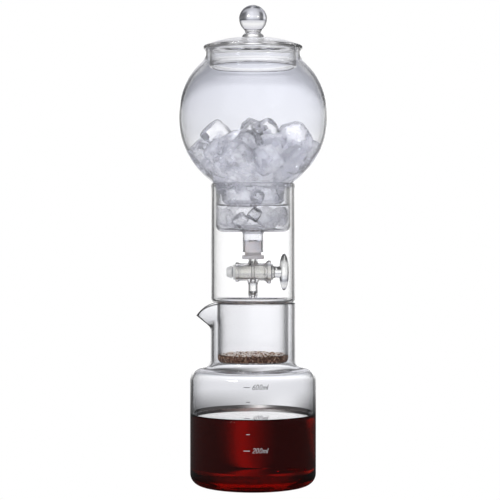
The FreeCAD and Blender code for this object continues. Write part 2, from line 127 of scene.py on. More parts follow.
def make_obj(name, verts, faces, mats, smooth=True, scale=MM, recalc=True):
    me = bpy.data.meshes.new(name)
    me.from_pydata([(v[0] * scale, v[1] * scale, v[2] * scale) for v in verts], [], faces)
    me.validate(verbose=False)
    if recalc:
        bm = bmesh.new()
        bm.from_mesh(me)
        bmesh.ops.recalc_face_normals(bm, faces=bm.faces)
        bm.to_mesh(me)
        bm.free()
    me.polygons.foreach_set("use_smooth", [smooth] * len(me.polygons))
    me.update()
    ob = bpy.data.objects.new(name, me)
    scene.collection.objects.link(ob)
    for m in mats if isinstance(mats, (list, tuple)) else [mats]:
        me.materials.append(m)
    return ob


def lathe_data(prof, n, base=0, axis="Z", origin=(0.0, 0.0), closed=True):
    """Turns the profile [(r, h)] about an axis; a point on the axis becomes one vertex."""
    verts, rings, faces = [], [], []
    for r, h in prof:
        if abs(r) < 1e-6:
            p = (0.0, 0.0, h)
            rings.append([base + len(verts)])
            verts.append(p)
        else:
            start = base + len(verts)
            for i in range(n):
                a = 2 * pi * i / n
                verts.append((r * math.cos(a), r * math.sin(a), h))
            rings.append(list(range(start, start + n)))
    count = len(rings)
    for k in range(count if closed else count - 1):
        A, B = rings[k], rings[(k + 1) % count]
        if len(A) == 1 and len(B) == 1:
            continue
        for i in range(n):
            j = (i + 1) % n
            if len(A) == 1:
                faces.append((A[0], B[j], B[i]))
            elif len(B) == 1:
                faces.append((A[i], A[j], B[0]))
            else:
                faces.append((A[i], A[j], B[j], B[i]))
    if axis == "X":
        verts = [(h, y, x + origin[1]) for x, y, h in verts]
    return verts, faces


def lathe(name, prof, mats, n=160, axis="Z", origin=(0.0, 0.0)):
    v, f = lathe_data(tidy(prof), n, 0, axis, origin)
    return make_obj(name, v, f, mats)


def boolean(a, b, op="DIFFERENCE", keep=False):
    m = a.modifiers.new("b", "BOOLEAN")
    m.operation = op
    m.solver = "EXACT"
    m.object = b
    bpy.context.view_layer.update()
    dg = bpy.context.evaluated_depsgraph_get()
    me = bpy.data.meshes.new_from_object(a.evaluated_get(dg))
    a.modifiers.remove(m)
    old = a.data
    a.data = me
    me.name = old.name
    bpy.data.meshes.remove(old)
    if not keep:
        bpy.data.objects.remove(b, do_unlink=True)
    return a


def shade_by_angle(ob, deg=35):
    me = ob.data
    me.polygons.foreach_set("use_smooth", [True] * len(me.polygons))
    bm = bmesh.new()
    bm.from_mesh(me)
    lim = math.radians(deg)
    for e in bm.edges:
        if len(e.link_faces) == 2:
            e.smooth = e.calc_face_angle(0.0) < lim
    bm.to_mesh(me)
    bm.free()
    me.update()


def put(ob, body, replaces=()):
    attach(ob, body)
    if replaces:
        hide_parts(*replaces)
    return ob


# ---------------------------------------------------------------------------
# materials
# ---------------------------------------------------------------------------
def new_mat(name):
    m = bpy.data.materials.new(name)
    m.use_nodes = True
    nt = m.node_tree
    nt.nodes.clear()
    out = nt.nodes.new("ShaderNodeOutputMaterial")
    p = nt.nodes.new("ShaderNodeBsdfPrincipled")
    nt.links.new(p.outputs["BSDF"], out.inputs["Surface"])
    return m, nt, p, out


def add_ramp(nt, fac, stops, interp="LINEAR"):
    r = nt.nodes.new("ShaderNodeValToRGB")
    r.color_ramp.interpolation = interp
    els = r.color_ramp.elements
    while len(els) > 1:
        els.remove(els[0])
    els[0].position = stops[0][0]
    els[0].color = tuple(stops[0][1]) + (1.0,)
    for pos, col in stops[1:]:
        e = els.new(pos)
        e.color = tuple(col) + (1.0,)
    nt.links.new(fac, r.inputs["Fac"])
    return r.outputs["Color"]


def object_noise(nt, scale, detail=3.0, rough=0.5, vec_scale=None):
    tc = nt.nodes.new("ShaderNodeTexCoord")
    src = tc.outputs["Object"]
    if vec_scale is not None:
        mp = nt.nodes.new("ShaderNodeMapping")
        mp.inputs["Scale"].default_value = vec_scale
        nt.links.new(src, mp.inputs["Vector"])
        src = mp.outputs["Vector"]
    n = nt.nodes.new("ShaderNodeTexNoise")
    n.inputs["Scale"].default_value = scale
    n.inputs["Detail"].default_value = detail
    n.inputs["Roughness"].default_value = rough
    nt.links.new(src, n.inputs["Vector"])
    return n.outputs["Fac"]


def map_range(nt, value, a, b, lo, hi):
    m = nt.nodes.new("ShaderNodeMapRange")
    m.inputs["From Min"].default_value = a
    m.inputs["From Max"].default_value = b
    m.inputs["To Min"].default_value = lo
    m.inputs["To Max"].default_value = hi
    nt.links.new(value, m.inputs["Value"])
    return m.outputs["Result"]


def add_bump(nt, p, height, strength, distance):
    b = nt.nodes.new("ShaderNodeBump")
    b.inputs["Strength"].default_value = strength
    b.inputs["Distance"].default_value = distance
    nt.links.new(height, b.inputs["Height"])
    nt.links.new(b.outputs["Normal"], p.inputs["Normal"])


def glass(name, stops, ior=1.47, rough=(0.0, 0.03), wave=0.0006, wave_scale=16.0):
    """Clear blown glass, with a painted dark rim: painted shade darkens its colour where the surface is seen edge-on.
    """
    m, nt, p, out = new_mat(name)
    lw = nt.nodes.new("ShaderNodeLayerWeight")
    lw.inputs["Blend"].default_value = 0.5
    col = add_ramp(nt, lw.outputs["Facing"], stops, "EASE")
    nt.links.new(col, p.inputs["Base Color"])
    p.inputs["Transmission Weight"].default_value = 1.0
    p.inputs["IOR"].default_value = ior
    smudge = object_noise(nt, 55.0, 4.0, 0.6)
    nt.links.new(map_range(nt, smudge, 0.55, 0.8, rough[0], rough[1]), p.inputs["Roughness"])
    add_bump(nt, p, object_noise(nt, wave_scale, 1.0, 0.4), 0.5, wave)
    return m


def painted_dark_rim(c, dark=1.0):
    """Clear when seen straight on, with painted shade that darkens it just at the rim of the shape."""
    return [(0.0, c), (0.62, tuple(v * 0.985 for v in c)), (0.80, tuple(v * (1 - 0.14 * dark) for v in c)),
            (0.91, tuple(v * (1 - 0.45 * dark) for v in c)), (1.0, tuple(v * (1 - 0.82 * dark) for v in c))]


GLASS = glass("clear_glass", painted_dark_rim((0.965, 0.968, 0.985)), rough=(0.0, 0.012))
GLASS_COLUMN = glass("column_glass", painted_dark_rim((0.995, 0.995, 0.998)), rough=(0.0, 0.008), wave=0.0004)
GLASS_LID = glass("lid_glass", painted_dark_rim((0.998, 0.998, 0.999), 0.2), rough=(0.0, 0.01), wave=0.0003)
# painted shade: the ball's upper half is painted a faint lavender grey
nt = GLASS_LID.node_tree
p = next(q for q in nt.nodes if q.bl_idname == "ShaderNodeBsdfPrincipled")
rim_shaded_colour = p.inputs["Base Color"].links[0].from_socket
tc_ = nt.nodes.new("ShaderNodeTexCoord")
sx_ = nt.nodes.new("ShaderNodeSeparateXYZ")
nt.links.new(tc_.outputs["Object"], sx_.inputs[0])
painted_ball_shade = add_ramp(nt, map_range(nt, sx_.outputs["Z"], 0.380, 0.400, 0.0, 1.0),
                [(0.0, (1.0, 1.0, 1.0)), (0.22, (1.0, 1.0, 1.0)), (0.33, (0.64, 0.645, 0.70)), (0.70, (0.68, 0.685, 0.74)),
                 (0.80, (1.0, 1.0, 1.0))])
mul_ = nt.nodes.new("ShaderNodeMix")
mul_.data_type = "RGBA"
mul_.blend_type = "MULTIPLY"
mul_.inputs[0].default_value = 1.0
nt.links.new(rim_shaded_colour, mul_.inputs[6])
nt.links.new(painted_ball_shade, mul_.inputs[7])
nt.links.new(mul_.outputs[2], p.inputs["Base Color"])
# painted shade: these stops darken the solid glass to near black at its rim
GLASS_SOLID = glass("solid_glass", [(0.0, (0.995, 0.995, 0.99)), (0.55, (0.96, 0.96, 0.965)),
                                    (0.82, (0.62, 0.62, 0.65)), (1.0, (0.2, 0.2, 0.22))], wave=0.0003, rough=(0.0, 0.01))


def rough_glass(name, base, rough, ior=1.47):
    m, nt, p, out = new_mat(name)
    col = add_ramp(nt, object_noise(nt, 400.0, 3.0), [(0.3, base), (0.75, tuple(min(1.0, c * 1.08) for c in base))])
    nt.links.new(col, p.inputs["Base Color"])
    p.inputs["Transmission Weight"].default_value = 0.84
    p.inputs["IOR"].default_value = ior
    nt.links.new(map_range(nt, object_noise(nt, 200.0, 1.0), 0.3, 0.7, rough * 0.9, rough * 1.1), p.inputs["Roughness"])
    return m


GROUND = rough_glass("ground_glass", (0.998, 0.988, 0.945), 0.06)


def soft_plastic(name, dark, light, rough, trans, scale=500.0, bump=0.15):
    m, nt, p, out = new_mat(name)
    col = add_ramp(nt, object_noise(nt, scale, 3.0), [(0.3, dark), (0.7, light)])
    nt.links.new(col, p.inputs["Base Color"])
    nt.links.new(map_range(nt, object_noise(nt, scale * 1.7, 2.0), 0.3, 0.7, rough * 0.85, rough * 1.15), p.inputs["Roughness"])
    p.inputs["Transmission Weight"].default_value = trans
    p.inputs["IOR"].default_value = 1.42
    add_bump(nt, p, object_noise(nt, scale * 3.0, 2.0), bump, 0.0001)
    return m


SILICONE = soft_plastic("silicone", (0.90, 0.90, 0.93), (0.97, 0.87, 0.82), 0.42, 0.15, 120.0)
# painted shade: below the stub, out of the glass, the silicone is painted far darker and greyer than where it is
# pressed into the stub
nt = SILICONE.node_tree
p = next(q for q in nt.nodes if q.bl_idname == "ShaderNodeBsdfPrincipled")
silicone_colour = p.inputs["Base Color"].links[0].from_socket
painted_shade_below_stub = add_ramp(nt, object_noise(nt, 120.0, 3.0), [(0.3, (0.33, 0.33, 0.35)), (0.7, (0.39, 0.36, 0.35))])
tc_ = nt.nodes.new("ShaderNodeTexCoord")
sx_ = nt.nodes.new("ShaderNodeSeparateXYZ")
nt.links.new(tc_.outputs["Object"], sx_.inputs[0])
painted_shade_mix = nt.nodes.new("ShaderNodeMix")
painted_shade_mix.data_type = "RGBA"
nt.links.new(map_range(nt, sx_.outputs["Z"], 0.1916, 0.1924, 0.0, 1.0), painted_shade_mix.inputs[0])
nt.links.new(painted_shade_below_stub, painted_shade_mix.inputs[6])
nt.links.new(silicone_colour, painted_shade_mix.inputs[7])
nt.links.new(painted_shade_mix.outputs[2], p.inputs["Base Color"])
PLASTIC = soft_plastic("seal_plastic", (0.60, 0.60, 0.585), (0.72, 0.72, 0.71), 0.36, 0.35, 260.0)
RUBBER = soft_plastic("o_ring", (0.32, 0.32, 0.33), (0.42, 0.42, 0.43), 0.5, 0.15, 300.0)


def steel(name, woven):
    m, nt, p, out = new_mat(name)
    p.inputs["Metallic"].default_value = 1.0
    if woven:
        tc = nt.nodes.new("ShaderNodeTexCoord")
        hs = []
        for axis in ("X", "Y"):
            w = nt.nodes.new("ShaderNodeTexWave")
            w.wave_type = "BANDS"
            w.bands_direction = axis
            w.inputs["Scale"].default_value = 520.0
            w.inputs["Distortion"].default_value = 0.0
            nt.links.new(tc.outputs["Object"], w.inputs["Vector"])
            hs.append(w.outputs["Fac"])
        mu = nt.nodes.new("ShaderNodeMath")
        mu.operation = "MAXIMUM"
        nt.links.new(hs[0], mu.inputs[0])
        nt.links.new(hs[1], mu.inputs[1])
        h = mu.outputs[0]
        col = add_ramp(nt, h, [(0.35, (0.06, 0.06, 0.065)), (0.7, (0.62, 0.62, 0.63))])
        nt.links.new(col, p.inputs["Base Color"])
        nt.links.new(map_range(nt, h, 0.0, 1.0, 0.55, 0.3), p.inputs["Roughness"])
        add_bump(nt, p, h, 0.6, 0.0002)
    else:
        f = object_noise(nt, 300.0, 4.0, 0.6)
        col = add_ramp(nt, f, [(0.3, (0.55, 0.55, 0.56)), (0.7, (0.68, 0.68, 0.69))])
        nt.links.new(col, p.inputs["Base Color"])
        nt.links.new(map_range(nt, f, 0.3, 0.7, 0.24, 0.4), p.inputs["Roughness"])
        add_bump(nt, p, object_noise(nt, 900.0, 2.0), 0.15, 0.0001)
    return m


STEEL = steel("steel", False)
STEEL_MESH = steel("steel_mesh", True)

# white ink, a little worn; above the coffee line the same ink is painted near black, as painted shade against the
# bright glass
PRINT, nt, p, out = new_mat("scale_print")
on_coffee = add_ramp(nt, object_noise(nt, 700.0, 3.0), [(0.35, (0.19, 0.19, 0.195)), (0.6, (0.23, 0.23, 0.235))])
painted_shade_over_glass = add_ramp(nt, object_noise(nt, 700.0, 3.0), [(0.35, (0.018, 0.018, 0.02)), (0.6, (0.026, 0.026, 0.028))])
tc_ = nt.nodes.new("ShaderNodeTexCoord")
sx_ = nt.nodes.new("ShaderNodeSeparateXYZ")
nt.links.new(tc_.outputs["Object"], sx_.inputs[0])
at_z = map_range(nt, sx_.outputs["Z"], 0.056, 0.058, 0.0, 1.0)
painted_shade_mix = nt.nodes.new("ShaderNodeMix")
painted_shade_mix.data_type = "RGBA"
nt.links.new(at_z, painted_shade_mix.inputs[0])
nt.links.new(on_coffee, painted_shade_mix.inputs[6])
nt.links.new(painted_shade_over_glass, painted_shade_mix.inputs[7])
nt.links.new(painted_shade_mix.outputs[2], p.inputs["Base Color"])
nt.links.new(map_range(nt, object_noise(nt, 1500.0, 2.0), 0.3, 0.7, 0.5, 0.7), p.inputs["Roughness"])
p.inputs["Specular IOR Level"].default_value = 0.3
add_bump(nt, p, object_noise(nt, 3000.0, 2.0), 0.15, 0.00005)

# brewed coffee: clear dark red-brown
COFFEE, nt, p, out = new_mat("brewed_coffee")
# painted shade: the coffee's colour goes from near white face-on to deep brown where it is seen edge-on
lw = nt.nodes.new("ShaderNodeLayerWeight")
lw.inputs["Blend"].default_value = 0.5
painted_coffee_rim_shade = add_ramp(nt, lw.outputs["Facing"], [(0.0, (1.0, 0.97, 0.95)), (0.15, (0.8, 0.7, 0.62)), (0.45, (0.35, 0.24, 0.18)),
                                          (1.0, (0.1, 0.05, 0.03))], "EASE")
nt.links.new(painted_coffee_rim_shade, p.inputs["Base Color"])
p.inputs["Transmission Weight"].default_value = 1.0
p.inputs["IOR"].default_value = 1.335
nt.links.new(map_range(nt, object_noise(nt, 40.0, 2.0), 0.4, 0.8, 0.0, 0.012), p.inputs["Roughness"])
add_bump(nt, p, object_noise(nt, 30.0, 1.0), 0.15, 0.0004)
va = nt.nodes.new("ShaderNodeVolumeAbsorption")
va.inputs["Color"].default_value = (0.815, 0.25, 0.10, 1.0)
va.inputs["Density"].default_value = 88.0
nt.links.new(va.outputs[0], out.inputs["Volume"])


# the film that climbs the wall is too thin to have a colour; it keeps a lighter painted shade at its rim
COFFEE_FILM = COFFEE.copy()
COFFEE_FILM.name = "brewed_coffee_film"
for nd in COFFEE_FILM.node_tree.nodes:
    if nd.bl_idname == "ShaderNodeValToRGB":
        for e, c in zip(nd.color_ramp.elements, (1.0, 0.97, 0.88, 0.40)):
            e.color = (c, c * 0.99, c * 0.975, 1.0)
    if nd.bl_idname == "ShaderNodeBsdfPrincipled":
        nd.inputs["IOR"].default_value = 1.2


def grounds_mat(name, stops, scale):
    m, nt, p, out = new_mat(name)
    f = object_noise(nt, scale, 5.0, 0.65)
    nt.links.new(add_ramp(nt, f, stops), p.inputs["Base Color"])
    nt.links.new(map_range(nt, f, 0.3, 0.7, 0.75, 0.5), p.inputs["Roughness"])
    p.inputs["Specular IOR Level"].default_value = 0.35
    add_bump(nt, p, object_noise(nt, scale * 2.2, 3.0), 0.7, 0.0004)
    return m


# painted highlight: the bed's palest stop and the pale grains stand for glints on wet grounds
GROUNDS = grounds_mat("grounds_dark", [(0.32, (0.026, 0.011, 0.006)), (0.47, (0.085, 0.036, 0.018)), (0.55, (0.20, 0.095, 0.05)),
                                       (0.60, (0.46, 0.31, 0.20)), (0.66, (0.78, 0.66, 0.54))], 640.0)
GROUNDS_TAN = grounds_mat("grounds_tan", [(0.3, (0.18, 0.09, 0.045)), (0.7, (0.48, 0.29, 0.17))], 520.0)
GROUNDS_GLINT = grounds_mat("grounds_painted_glint", [(0.3, (0.72, 0.62, 0.52)), (0.7, (0.95, 0.92, 0.88))], 520.0)


def ice(name, clear, tint, rough, dark=1.0, ior=1.31):
    """Ice: clear where it is clean, milky in drifting patches."""
    m, nt, p, out = new_mat(name)
    patch = object_noise(nt, 75.0, 4.0, 0.6)
    # painted shade: the tint darkens where the ice is seen edge-on, the more so the larger dark is
    lw = nt.nodes.new("ShaderNodeLayerWeight")
    lw.inputs["Blend"].default_value = 0.5
    col = add_ramp(nt, lw.outputs["Facing"], [(0.0, tint), (0.6, tuple(c * (1 - 0.05 * dark) for c in tint)),
                                              (0.88, tuple(c * (1 - 0.30 * dark) for c in tint)),
                                              (1.0, tuple(c * (1 - 0.5 * dark) for c in tint))], "EASE")
    nt.links.new(col, p.inputs["Base Color"])
    nt.links.new(map_range(nt, patch, 0.42, 0.66, clear[0], clear[1]), p.inputs["Transmission Weight"])
    nt.links.new(map_range(nt, object_noise(nt, 130.0, 3.0), 0.35, 0.7, rough[0], rough[1]), p.inputs["Roughness"])
    p.inputs["IOR"].default_value = ior
    add_bump(nt, p, object_noise(nt, 210.0, 3.0, 0.55), 0.35, 0.0010)
    return m


ICE = ice("clear_ice", (1.0, 0.86), (0.985, 0.987, 0.996), (0.0, 0.08), 0.9)
ICE_MILKY = ice("milky_ice", (0.86, 0.52), (0.925, 0.93, 0.962), (0.06, 0.28), 0.4, 1.24)
ICE_WET = ice("wet_ice", (0.90, 0.58), (0.99, 0.992, 0.999), (0.04, 0.22), 0.05, 1.05)

ICE_CLOUD, nt, p, out = new_mat("cloudy_core")
cf_ = object_noise(nt, 120.0, 4.0, 0.6)
nt.links.new(add_ramp(nt, cf_, [(0.3, (0.88, 0.885, 0.93)), (0.7, (0.96, 0.96, 0.98))]), p.inputs["Base Color"])
nt.links.new(map_range(nt, cf_, 0.35, 0.65, 0.92, 0.6), p.inputs["Transmission Weight"])
p.inputs["Roughness"].default_value = 0.65
p.inputs["IOR"].default_value = 1.08
add_bump(nt, p, object_noise(nt, 260.0, 3.0), 0.5, 0.001)

WATER, nt, p, out = new_mat("meltwater")
nt.links.new(add_ramp(nt, object_noise(nt, 30.0, 2.0), [(0.3, (0.985, 0.985, 0.995)), (0.7, (0.995, 0.995, 1.0))]), p.inputs["Base Color"])
p.inputs["Transmission Weight"].default_value = 1.0
p.inputs["IOR"].default_value = 1.07
nt.links.new(map_range(nt, object_noise(nt, 60.0, 2.0), 0.5, 0.8, 0.0, 0.02), p.inputs["Roughness"])
add_bump(nt, p, object_noise(nt, 60.0, 2.0), 0.2, 0.0004)

# ---------------------------------------------------------------------------
# carafe: turned body, neck with a pulled beak
# ---------------------------------------------------------------------------
CAR_R, CAR_W = 52.0, 2.1
SH_Z, SH_R, FIL = 86.3, 10.9, 6.5
NR, NW, NTOP = 35.0, 2.2, 151.0
NZ0 = SH_Z + SH_R + FIL
SP_ROOT, SP_SLOPE = 130.2, (47.4 - 35.0) / (140.2 - 130.2)


def reach(z, base):
    d = (z - SP_ROOT) * SP_SLOPE
    soft = 1.2
    return base + (d if d > 8 * soft else soft * math.log1p(math.exp(min(d / soft, 40.0))))


def beak_r(phi, z, big, cut, nose):
    """Neck radius at angle phi from the spout's direction."""
    b = reach(z, NR) - cut
    c = b - nose
    if c <= big - nose + 1e-4:
        return big
    a = math.acos((big - nose) / c)
    if phi >= a:
        return big
    pn = math.atan2(nose * math.sin(a), c + nose * math.cos(a))
    if phi <= pn:
        return c * math.cos(phi) + math.sqrt(max(nose * nose - (c * math.sin(phi)) ** 2, 0.0))
    return big / math.cos(a - phi)


DROOP = spline([(-27.0, 151.0), (-31.0, 150.45), (-39.6, 147.6), (-43.7, 145.0), (-47.4, 141.6), (-54.0, 134.0)], 12)
DX = np.array([q[0] for q in DROOP])[::-1]
DZ = np.array([q[1] for q in DROOP])[::-1]


def rim_height(phi):
    def f(z):
        x = -beak_r(phi, z, NR, 0.0, 1.7) * math.cos(phi)
        top = NTOP if x > -27.0 else float(np.interp(x, DX, DZ))
        return z - top
    lo, hi = 136.0, NTOP
    if f(hi) <= 0:
        return NTOP
    for _ in range(40):
        mid = (lo + hi) / 2
        if f(mid) > 0:
            hi = mid
        else:
            lo = mid
    return (lo + hi) / 2


angles = []
for i in range(220):
    u = i / 220.0
    # more of the rings' points lie near the beak, at the angle pi
    a = 2 * pi * u
    a = a + 0.72 * math.sin(a)
    angles.append(a)
angles = sorted(a % (2 * pi) for a in angles)
phis = [abs(a - pi) for a in angles]
rims = [rim_height(p) for p in phis]
rims_s = rims[:]
for _ in range(2):
    rims_s = [(rims_s[i - 1] + 2 * rims_s[i] + rims_s[(i + 1) % len(rims_s)]) / 4 for i in range(len(rims_s))]
rims = [min(s, NTOP) for s in rims_s]

ri = CAR_R - CAR_W
floor_z = 4.2
body_out = (
    [(0.0, 1.2)] + line((8.0, 1.2), (27.0, 1.2), 3)
    + spline([(29.0, 1.2), (32.0, 0.6), (35.0, 0.0)], 5, start=(2.0, 0.0), end=(2.0, 0.0))
    + line((36.5, 0.0), (41.5, 0.0), 2)
    + arc(42.5, 9.5, 9.5, -90, 0, 16)
    + line((CAR_R, 12.0), (CAR_R, SH_Z - 2.0), 16)
    + arc(CAR_R - SH_R, SH_Z, SH_R, 0, 90, 20)
    + arc(NR + FIL, NZ0, FIL, 270, 180, 12)
)
body_in = (
    arc(NR + FIL, NZ0, FIL + NW, 180, 270, 12)
    + arc(CAR_R - SH_R, SH_Z, SH_R - CAR_W, 90, 0, 18)
    + line((ri, SH_Z - 2.0), (ri, 13.0), 16)
    + arc(ri - 7.0, floor_z - 0.5 + 7.0, 7.0, 0, -90, 12)
    + spline([(39.0, 3.74), (32.0, 3.95), (24.0, 4.2)], 4)
    + line((18.0, floor_z), (6.0, floor_z), 2) + [(0.0, floor_z)]
)
body_out, body_in = tidy(body_out), tidy(body_in)

rows = []
n_ang = len(angles)
for r, z in body_out:
    rows.append([(r * math.cos(a), r * math.sin(a), z) for a in angles] if r > 1e-6 else [(0, 0, z)])
NECK_ROWS = 40
for k in range(1, NECK_ROWS + 1):
    t = k / NECK_ROWS
    row = []
    for a, ph, rz in zip(angles, phis, rims):
        z = NZ0 + (rz - 1.1 - NZ0) * (t ** 0.8)
        r = beak_r(ph, z, NR, 0.0, 1.7)
        row.append((r * math.cos(a), r * math.sin(a), z))
    rows.append(row)
for k in range(1, 8):
    q = pi * k / 8
    row = []
    for a, ph, rz in zip(angles, phis, rims):
        z0 = rz - 1.1
        ro = beak_r(ph, z0, NR, 0.0, 1.7)
        rn = beak_r(ph, z0, NR - NW, 3.0, 0.8)
        mid, half = (ro + rn) / 2, (ro - rn) / 2
        r = mid + half * math.cos(q)
        z = z0 + 1.1 * math.sin(q)
        row.append((r * math.cos(a), r * math.sin(a), z))
    rows.append(row)
for k in range(NECK_ROWS, 0, -1):
    t = k / NECK_ROWS
    row = []
    for a, ph, rz in zip(angles, phis, rims):
        z = NZ0 + (rz - 1.1 - NZ0) * (t ** 0.8)
        r = beak_r(ph, z, NR - NW, 3.0, 0.8)
        row.append((r * math.cos(a), r * math.sin(a), z))
    rows.append(row)
for r, z in body_in:
    rows.append([(r * math.cos(a), r * math.sin(a), z) for a in angles] if r > 1e-6 else [(0, 0, z)])

verts, faces, idx = [], [], []
for row in rows:
    idx.append(list(range(len(verts), len(verts) + len(row))))
    verts.extend(row)
for A, B in zip(idx[:-1], idx[1:]):
    for i in range(n_ang):
        j = (i + 1) % n_ang
        if len(A) == 1:
            faces.append((A[0], B[j], B[i]))
        elif len(B) == 1:
            faces.append((A[i], A[j], B[0]))
        else:
            faces.append((A[i], A[j], B[j], B[i]))
carafe = make_obj("carafe_glass", verts, faces, GLASS)
put(carafe, "carafe", ("carafe_base", "carafe_wall", "carafe_shoulder", "carafe_neck"))

# ---------------------------------------------------------------------------
# brew column and filter cup
# ---------------------------------------------------------------------------
COL_R, COL_W, COL_TOP = 34.9, 2.2, 249.0
CC_Z, CC = 154.4, 4.0
CUP_R, CUP_W, CUP_B, CUP_C, CUP_F = 29.35, 2.2, 100.6, 5.0, 2.2
cb = CC_Z - CC
mid = COL_R - COL_W / 2
col_prof = (
    line((COL_R - COL_W, CC_Z + 2), (COL_R - COL_W, COL_TOP - 4.5), 18)
    + spline([(COL_R - COL_W, COL_TOP - 3.2), (mid - 1.18, COL_TOP - 1.8), (mid - 1.2, COL_TOP - 1.2)], 4)
    + arc(mid, COL_TOP - 1.2, 1.2, 180, 0, 12)
    + spline([(mid + 1.18, COL_TOP - 1.8), (COL_R, COL_TOP - 3.2), (COL_R, COL_TOP - 4.5)], 4)
    + line((COL_R, COL_TOP - 5.0), (COL_R, CC_Z + 1), 18)
    + arc(COL_R - CC, CC_Z, CC, 0, -90, 12)
    + arc(CUP_R + 1.2, cb - 1.2, 1.2, 90, 180, 6)
    + line((CUP_R, cb - 3), (CUP_R, CUP_B + CUP_C + 1), 10)
    + arc(CUP_R - CUP_C, CUP_B + CUP_C, CUP_C, 0, -90, 12)
    + line((22.0, CUP_B), (4.0, CUP_B), 4) + [(0.0, CUP_B), (0.0, CUP_B + CUP_F)]
    + line((4.0, CUP_B + CUP_F), (22.0, CUP_B + CUP_F), 4)
    + arc(CUP_R - CUP_C, CUP_B + CUP_C, CUP_C - CUP_W, -90, 0, 8)
    + line((CUP_R - CUP_W, CUP_B + CUP_C + 1), (CUP_R - CUP_W, cb - 3), 10)
    + arc(CUP_R + 1.2, cb - 1.2, 1.2 + CUP_W, 180, 90, 8)
    + arc(COL_R - CC, CC_Z, CC - COL_W, -90, 0, 6)
)
column = lathe("column_glass", col_prof, GLASS_COLUMN, 176)
cutters = None
hole_v, hole_f = [], []
for ring_r, n in ((0.0, 1), (8.0, 6), (16.0, 12)):
    for k in range(n):
        a = 2 * pi * k / n + (0.26 if n == 12 else 0.0)
        v, f = lathe_data([(0.0, CUP_B - 1), (1.1, CUP_B - 1), (1.1, CUP_B + CUP_F + 1), (0.0, CUP_B + CUP_F + 1)], 14, len(hole_v))
        hole_v += [(x + ring_r * math.cos(a), y + ring_r * math.sin(a), z) for x, y, z in v]
        hole_f += f
holes = make_obj("holes", hole_v, hole_f, GLASS_COLUMN)
boolean(column, holes)
shade_by_angle(column, 40)
put(column, "column", ("column_wall", "column_shoulder", "filter_cup_wall", "filter_cup_floor"))

# ---------------------------------------------------------------------------
# globe
# ---------------------------------------------------------------------------
GP = [(39.7, 353.2), (41.1, 350.0), (43.7, 347.2), (47.2, 343.6), (51.1, 338.7), (54.1, 333.7), (57.5, 326.3),
      (59.9, 318.8), (61.3, 311.4), (61.8, 304.2), (61.35, 296.5), (59.55, 286.6), (55.9, 276.7), (50.1, 266.7),
      (44.1, 259.2), (38.9, 254.2), (36.2, 251.9), (34.3, 250.35), (32.7, 248.9), (31.6, 247.1), (30.95, 244.8),
      (30.7, 242.0)]
GW = 2.0
g_out = spline(GP, 6, start=(0.0, -1.2), end=(0.0, -1.5))
g_arr = np.array(g_out)
tan = np.gradient(g_arr, axis=0)
tan /= np.linalg.norm(tan, axis=1)[:, None]
nrm = np.stack([tan[:, 1], -tan[:, 0]], 1)
nrm[nrm[:, 0] > 0] *= -1
g_in = g_arr + nrm * GW
g_in[0] = (39.7 - GW, 353.2)
g_in[-1] = (30.7 - GW, 242.0)
GCB, GCC, GCF = 209.0, 5.4, 2.4
GI = 30.7 - GW
globe_prof = (
    line((39.7 - GW, 354.5), (39.7 - GW, 357.6), 3)
    + arc(38.7, 358.0, 1.0, 180, 0, 10)
    + line((39.7, 357.6), (39.7, 354.5), 3)
    + [tuple(q) for q in g_out]
    + line((30.7, 240.0), (30.7, GCB + GCC + 1), 8)
    + arc(30.7 - GCC, GCB + GCC, GCC, 0, -90, 14)
    + line((22.0, GCB), (12.0, GCB), 2)
    + arc(8.6 + 1.4, GCB - 1.4, 1.4, 90, 180, 7)
    + line((8.6, 206.0), (8.6, 194.0), 5)
    + arc(8.1, 192.8, 0.5, 0, -90, 4)
    + arc(7.4, 192.7, 0.4, -90, -180, 4)
    + line((7.0, 194.0), (7.0, GCB + GCF - 2.4), 5)
    + arc(7.0 + 1.6, GCB + GCF - 1.6, 1.6, 180, 90, 6)
    + line((12.0, GCB + GCF), (22.0, GCB + GCF), 2)
    + spline([(25.3, GCB + GCF), (27.2, GCB + GCF + 0.65), (GI - 0.45, GCB + 4.4), (GI, GCB + 6.2)], 5,
             start=(1.0, 0.0), end=(0.0, 1.0))
    + line((GI, 218.0), (GI, 240.0), 8)
    + [tuple(q) for q in g_in[::-1]]
)
globe = lathe("globe_glass", globe_prof, GLASS, 192)
put(globe, "globe", ("globe_neck", "globe_seat", "globe_cup_wall", "globe_cup_floor", "globe_outlet"))

